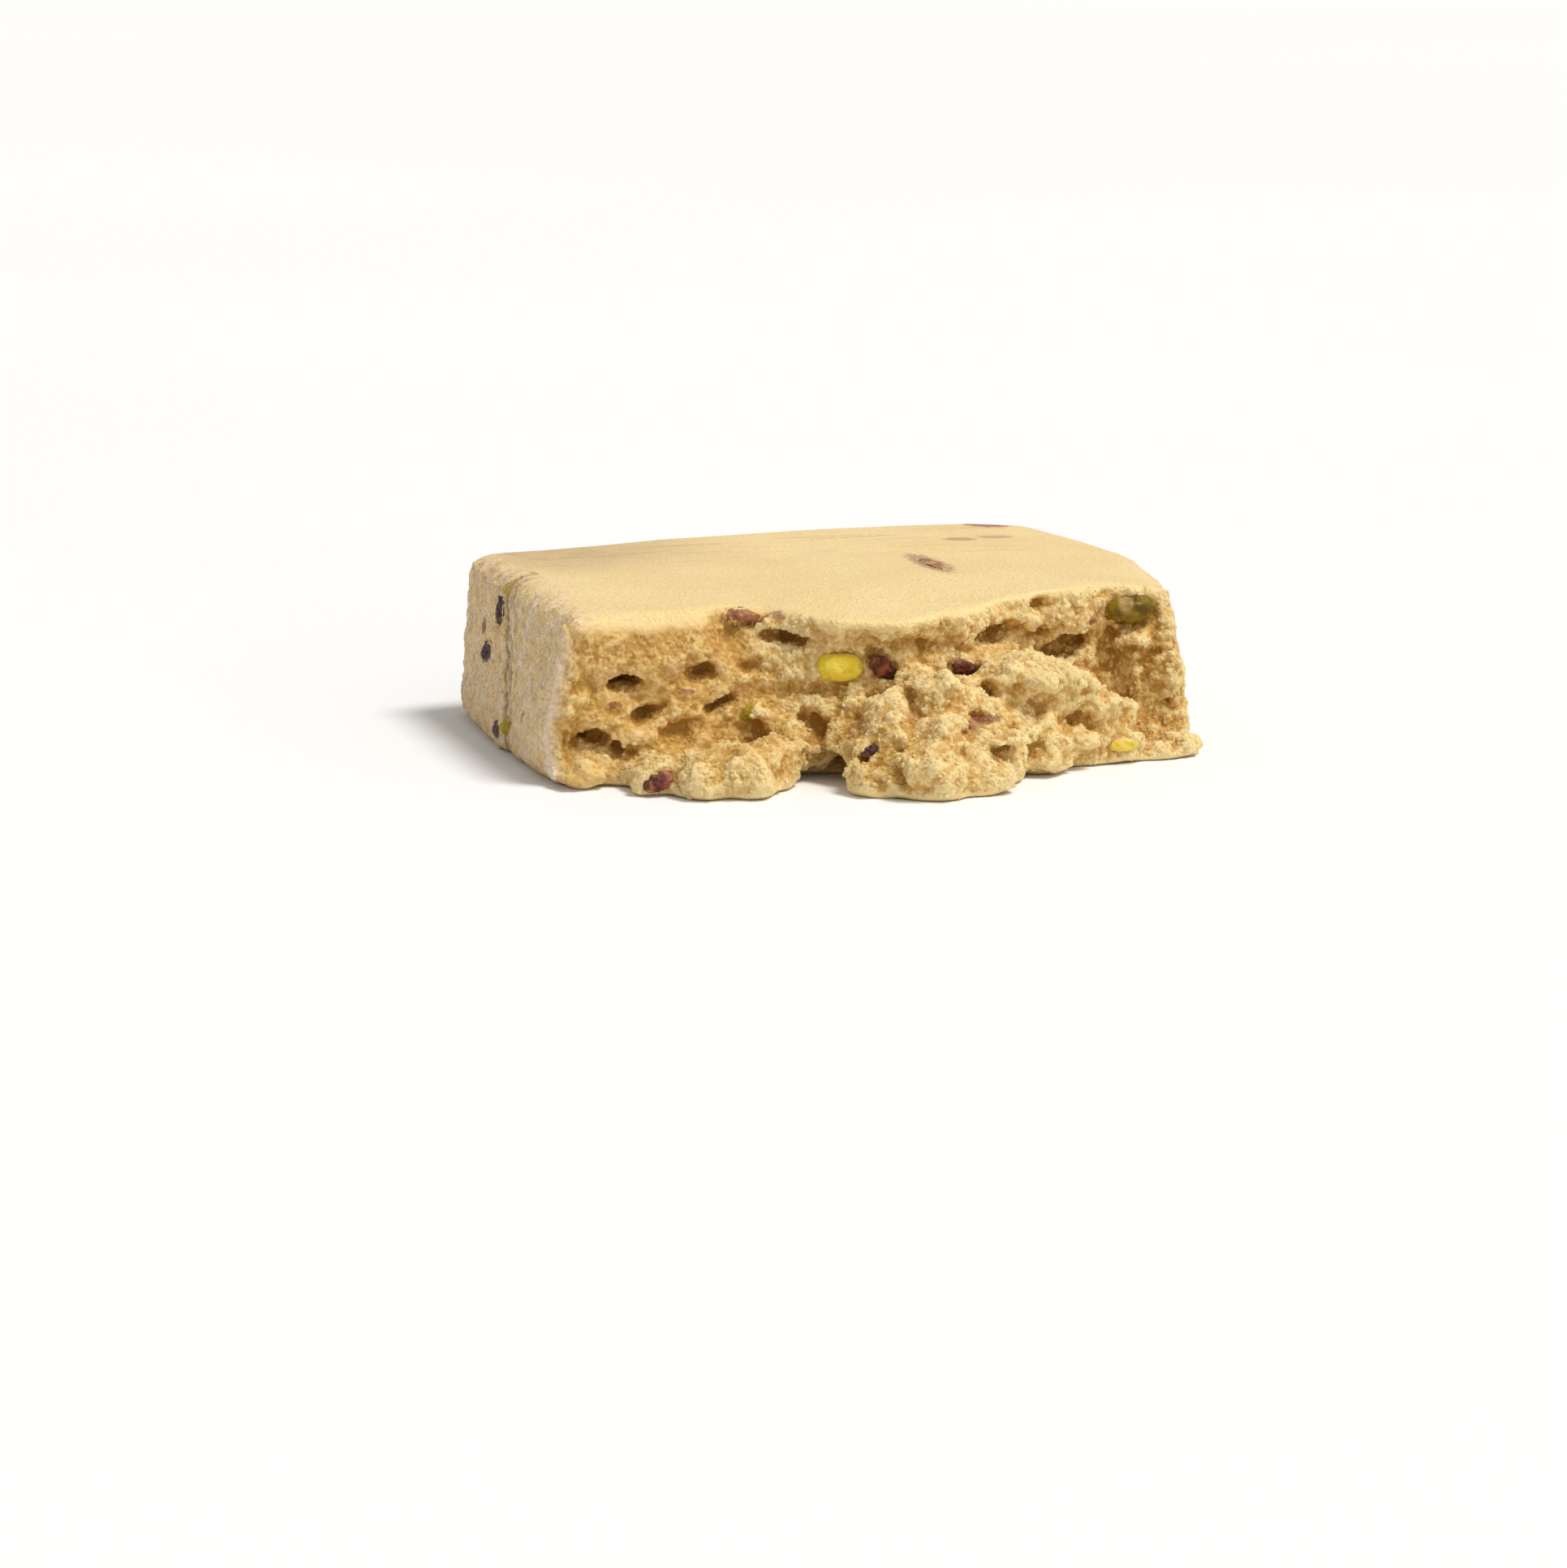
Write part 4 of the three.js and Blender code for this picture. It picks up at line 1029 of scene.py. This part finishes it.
def from_groove(points):
    """How far in front of the slanting scrape on the left side points lie, along Y."""
    y, z = points[:, 1], np.clip(points[:, 2], 0, HEIGHT)
    across = y - SCRAPE_AT - SCRAPE_LEAN * (z / HEIGHT) ** SCRAPE_BEND
    for rate, wave in SCRAPE_WAVES:
        across = across - wave * np.sin(rate * z)
    return across


def roughen_sides(body):
    """Uneven sides, and the scrape down the left one: grooves with a sunken band between."""
    points = bar_points(body.data)
    sides = side_share(points) * (1 - torn_share(points))
    rough = np.zeros(len(points))
    for index in np.nonzero(sides > 0.02)[0]:
        place = Vector(points[index])
        rough[index] = (0.15 * noise.fractal(place * 0.75, 0.8, 2.0, 3)
                        + 0.10 * noise.fractal(place * 2.4, 0.7, 2.0, 3))
    normals = normals_of(body.data)
    across = from_groove(points)
    beside = 1 - ease(0.9, 1.3, depths(points)["left"])
    sunk = 0.12 * ease(-0.9, -0.6, across) * (1 - ease(0.5, 0.8, across))
    for at, wide, deep in GROOVES:
        sunk = sunk + deep * np.exp(-((across - at) / wide) ** 2)
    points += normals * (rough * sides)[:, None]
    points[:, 0] += beside * sunk
    set_bar_points(body.data, points)


def largest_part(piece):
    """Deletes loose scraps that aren't joined to the main body."""
    first, second = edges_of(piece.data).T
    group = np.arange(len(piece.data.vertices))
    while (group[first] != group[second]).any():
        lowest = np.minimum(group[first], group[second])
        np.minimum.at(group, first, lowest)
        np.minimum.at(group, second, lowest)
        group = group[group]
    scraps = np.nonzero(group != np.bincount(group).argmax())[0]
    shell = bmesh.new()
    shell.from_mesh(piece.data)
    shell.verts.ensure_lookup_table()
    bmesh.ops.delete(shell, geom=[shell.verts[index] for index in scraps], context="VERTS")
    shell.to_mesh(piece.data)
    shell.free()


def painted_shading_of(mesh, points):
    """The crumb's painted shading: painted shade, most in hollows and at the right, and painted
    light on the crag's knob.
    """
    x, y, z = points.T
    # painted shade over the spongy part, for its crowded pores
    painted_shading = SPONGE_PAINTED_SHADE * spongy_share(points)
    # painted shade in hollows and painted light on ridges, at two sizes
    for rounds, full, share in HOLLOW_SCALES:
        painted_shading += np.clip(below_ground(mesh, points, rounds) / full, -1, 1) * share
    # painted shade in the recess at the right, under the overhang of the skin
    recess = ease(31, 35, x) * ease(0.8, 3.0, z) * (1 - ease(8.2, 9.4, z)) * ease(-3.0, -1.2, y)
    # painted light on the lobe by the crag's knob
    knob = (ease(25, 27, x) * (1 - ease(33, 35, x)) * ease(3.2, 4.2, z)
            * (1 - ease(-2.2, -1.2, y)))
    # painted shade in the valley between the clump and the crag
    valley = (ease(10.5, 12.5, x) * (1 - ease(18, 20, x)) * ease(0.4, 1.2, z)
              * (1 - ease(3.6, 4.6, z)))
    return (np.minimum(painted_shading, MOST_PAINTED_SHADE) + recess * RECESS_PAINTED_SHADE + valley * VALLEY_PAINTED_SHADE
            - knob * KNOB_PAINTED_LIGHT)


def finish_body(body):
    """Stores what the nougat's material reads, and ties the body to the frame."""
    largest_part(body)
    mesh = body.data
    points = bar_points(mesh)
    points[:, 2] = np.maximum(points[:, 2], 0)
    set_bar_points(mesh, points)
    x, y, z = points.T
    from_left = depths(points)["left"]
    # Painted highlight: a pale rim along the rounded edge between the left side and the torn face.
    rim_highlight = np.exp(-(from_left / 0.6) ** 2 - ((y + 0.3) / 0.8) ** 2) * (1 - ease(8.0, 10.0, z))
    shares = {"torn": torn_share(points), "smeared": smeared_share(points),
              "side": side_share(points, 3.0), "rim_highlight": rim_highlight,
              # painted shade, darker towards the back left of the top
              "painted_back_shade": ease(12, 24, y) * (1 - ease(6, 20, x)) * ease(9, 10, z),
              "painted_shading": painted_shading_of(mesh, points)}
    for name, values in shares.items():
        set_attribute(mesh, name, values)
    shade(mesh, True)
    mesh.materials.clear()
    mesh.materials.append(NOUGAT)
    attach(body, BODY)
    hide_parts("nougat")


def fine_grains(body, name, amount, sizes, seed):
    """Fine angular grains that lie on the torn face, sunk into it."""
    ground = new_object(name, body.data.copy())
    points = bar_points(ground.data)
    set_attribute(ground.data, "crumbs", amount)
    add_shape(ground, crumb_tree(), sizes, Bare=0.4, Sink=CRUMB_SINK, Seed=seed)
    grains = baked(ground)
    grain_points = vertices_of(grains.data)
    grain_points[:, 2] = np.maximum(grain_points[:, 2], 0)
    set_vertices(grains.data, grain_points)
    shade(grains.data, False)
    centres = vertices_of(grains.data).reshape(-1, GRAIN_CORNERS, 3).mean(1)
    finder = KDTree(len(points))
    for index, point in enumerate(from_bar(points)):
        finder.insert(Vector(point), index)
    finder.balance()
    # Each grain takes the painted shading of the ground under it, with less of the painted shade.
    painted_shading = read(body.data.attributes["painted_shading"].data, "value", 1)[:, 0]
    nearest = [finder.find(Vector(centre))[1] for centre in centres]
    set_attribute(grains.data, "painted_shading", np.repeat(painted_shading[nearest] - GRAIN_LESS_PAINTED_SHADE, GRAIN_CORNERS))
    set_attribute(grains.data, "torn", np.ones(len(centres) * GRAIN_CORNERS))
    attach(grains, BODY)


def boxy(points, centre, share):
    """Fills a rounded piece out towards a box."""
    half = (points.max(0) - points.min(0)) / 2
    unit = (points - centre) / half
    round_length = np.linalg.norm(unit, axis=1)
    box_length = (np.abs(unit) ** 4).sum(1) ** 0.25
    grow = 1 + share * (round_length / box_length - 1)
    return centre + unit * half * grow[:, None]


def snap_to_body(points, side, body_tree, proud):
    """Lays the outer face of a piece on the body's own surface, proud of it by that much."""
    outward = Vector(OUTWARD[side]).normalized()
    for index, point in enumerate(points):
        start = Vector(from_bar(point)) + outward * LAY_FROM * MM
        hit = body_tree.ray_cast(start, -outward, LAY_REACH * MM)[0]
        if hit is not None:
            points[index] = to_bar(np.array(hit + outward * proud[index] * MM))
    return points


def from_middle(points, centre, side):
    """0 in the middle of the face a piece shows, about 1 at its outline."""
    half = (points.max(0) - points.min(0)) / 2
    across = np.delete((points - centre) / half, np.argmax(np.abs(OUTWARD[side])), 1)
    return np.linalg.norm(across, axis=1)


def make_piece(node, body_tree):
    """A nut or berry piece: the node's shape, refined and roughened."""
    side, _, own = PIECES[node]
    kind = node.split("_")[0]
    wants = USUAL[kind] | own
    piece = merged_copy(node, node + "_piece")
    finer = piece.modifiers.new("finer", "SUBSURF")
    finer.levels = finer.render_levels = 3
    piece = baked(piece)
    mesh = piece.data
    points = bar_points(mesh)
    centre = (points.min(0) + points.max(0)) / 2
    points = centre + (points - centre) * wants["size"]
    if kind == "pistachio":
        points = boxy(points, centre, 0.4)
    rng = np.random.default_rng(sum(ord(letter) for letter in node))
    shift = rng.uniform(0, 20, 3)
    wave = np.array([noise.fractal(Vector((point + shift) * 1.5), 0.8, 2.0, 4)
                     for point in points])
    points = points + normals_of(mesh) * (wants["rough"] * wave)[:, None]
    outline = from_middle(points, centre, side)
    side = wants.get("lies", side)
    if side != "torn":
        proud = PROUD[side] + 0.10 * wave - EDGE_SINK[side] * ease(0.6, 1.0, outline)
        points = snap_to_body(points, side, body_tree, proud)
    points[:, 2] = np.maximum(points[:, 2], 0)
    bare = wants["bare"]
    crust = np.maximum(ease(bare, bare + 0.35, outline + 0.3 * wave), wants["crust"])
    if side == "torn":
        points[:, 1] += 0.55 * crust
    set_bar_points(mesh, points)
    shade(mesh, True)
    set_attribute(mesh, "crust", crust)
    if kind == "pistachio":
        set_attribute(mesh, "olive", np.full(len(points), wants["olive"]))
    else:
        fade = ease(0.45, 1.0, outline) * EDGE_FADE.get(side, USUAL_FADE)
        set_attribute(mesh, "faded", np.clip(wants["faded"] + fade * (1 - wants["faded"]), 0, 1))
        set_attribute(mesh, "deep", np.full(len(points), wants["deep"]))
    mesh.materials.append(PISTACHIO if kind == "pistachio" else CRANBERRY)
    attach(piece, BODY)
    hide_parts(node)


nougat_bar, node_trees = make_body()
finish_body(nougat_bar)
crumbly = crumb_amount(nougat_bar.data, node_trees)
for kind_name, (kind_sizes, kind_seed) in GRAIN_KINDS.items():
    fine_grains(nougat_bar, kind_name, crumbly, kind_sizes, kind_seed)
bar_tree = tree_of(nougat_bar)
for name in PIECES:
    make_piece(name, bar_tree)

# ---- floor, light and camera

FLOOR_REACH = 6.0
WORLD_LIGHT = 0.42
SUNS = (
    # name, azimuth and elevation it shines from in degrees, strength, angular size, colour
    ("key", 62, 64, 2.42, 20, (1.0, 0.985, 0.955)),
    ("front", 20, 30, 0.45, 50, (1.0, 0.98, 0.95)),
)
SENSOR_WIDTH = 36.0
FOCAL_LENGTH = SENSOR_WIDTH * 6400 / 1932  # 6400 pixels, in a frame of 1932
CAMERA_AT = (-80.04, -309.06, 62.07)
CAMERA_TURN, CAMERA_TILT = -16.89, 11.0


def direction(azimuth, elevation):
    """A vector of length 1 at these angles in degrees, azimuth 0 being the front."""
    around, up = math.radians(azimuth), math.radians(elevation)
    return Vector((math.sin(around) * math.cos(up), -math.cos(around) * math.cos(up),
                   math.sin(up)))


def make_stage():
    mesh = bpy.data.meshes.new("floor")
    corners = [(FLOOR_REACH * x, FLOOR_REACH * y, 0)
               for x, y in ((-1, -1), (1, -1), (1, 1), (-1, 1))]
    mesh.from_pydata(corners, [], [(0, 1, 2, 3)])
    floor = new_object("floor", mesh)
    material, net, principled = shader("floor", Roughness=0.75, Specular_IOR_Level=0.2)
    cloud = net.noise(net.node("ShaderNodeTexCoord", {}, {}, "Object"), 3.0)
    net.feed(principled.inputs["Base Color"],
             net.mix(cloud, (0.86, 0.86, 0.86), (0.89, 0.89, 0.89)))
    mesh.materials.append(material)

    world = bpy.data.worlds.new("studio")
    bpy.context.scene.world = world
    world.use_nodes = True
    background = world.node_tree.nodes["Background"]
    background.inputs["Color"].default_value = (1.0, 1.0, 1.0, 1)
    background.inputs["Strength"].default_value = WORLD_LIGHT


def make_lights():
    for name, azimuth, elevation, strength, size, colour in SUNS:
        data = bpy.data.lights.new(name, "SUN")
        data.energy = strength
        data.angle = math.radians(size)
        data.color = colour
        lamp = new_object(name, data)
        towards = direction(azimuth, elevation)
        lamp.rotation_euler = towards.to_track_quat("Z", "Y").to_euler()


def make_camera():
    data = bpy.data.cameras.new("camera")
    data.sensor_width = SENSOR_WIDTH
    data.lens = FOCAL_LENGTH
    data.clip_start, data.clip_end = 0.01, 50
    camera = new_object("camera", data)
    camera.location = from_bar(CAMERA_AT)
    look = -direction(CAMERA_TURN, CAMERA_TILT)
    camera.rotation_euler = look.to_track_quat("-Z", "Y").to_euler()
    bpy.context.scene.camera = camera


make_stage()
make_lights()
make_camera()
view = bpy.context.scene.view_settings
view.view_transform = "Standard"
view.look = "None"
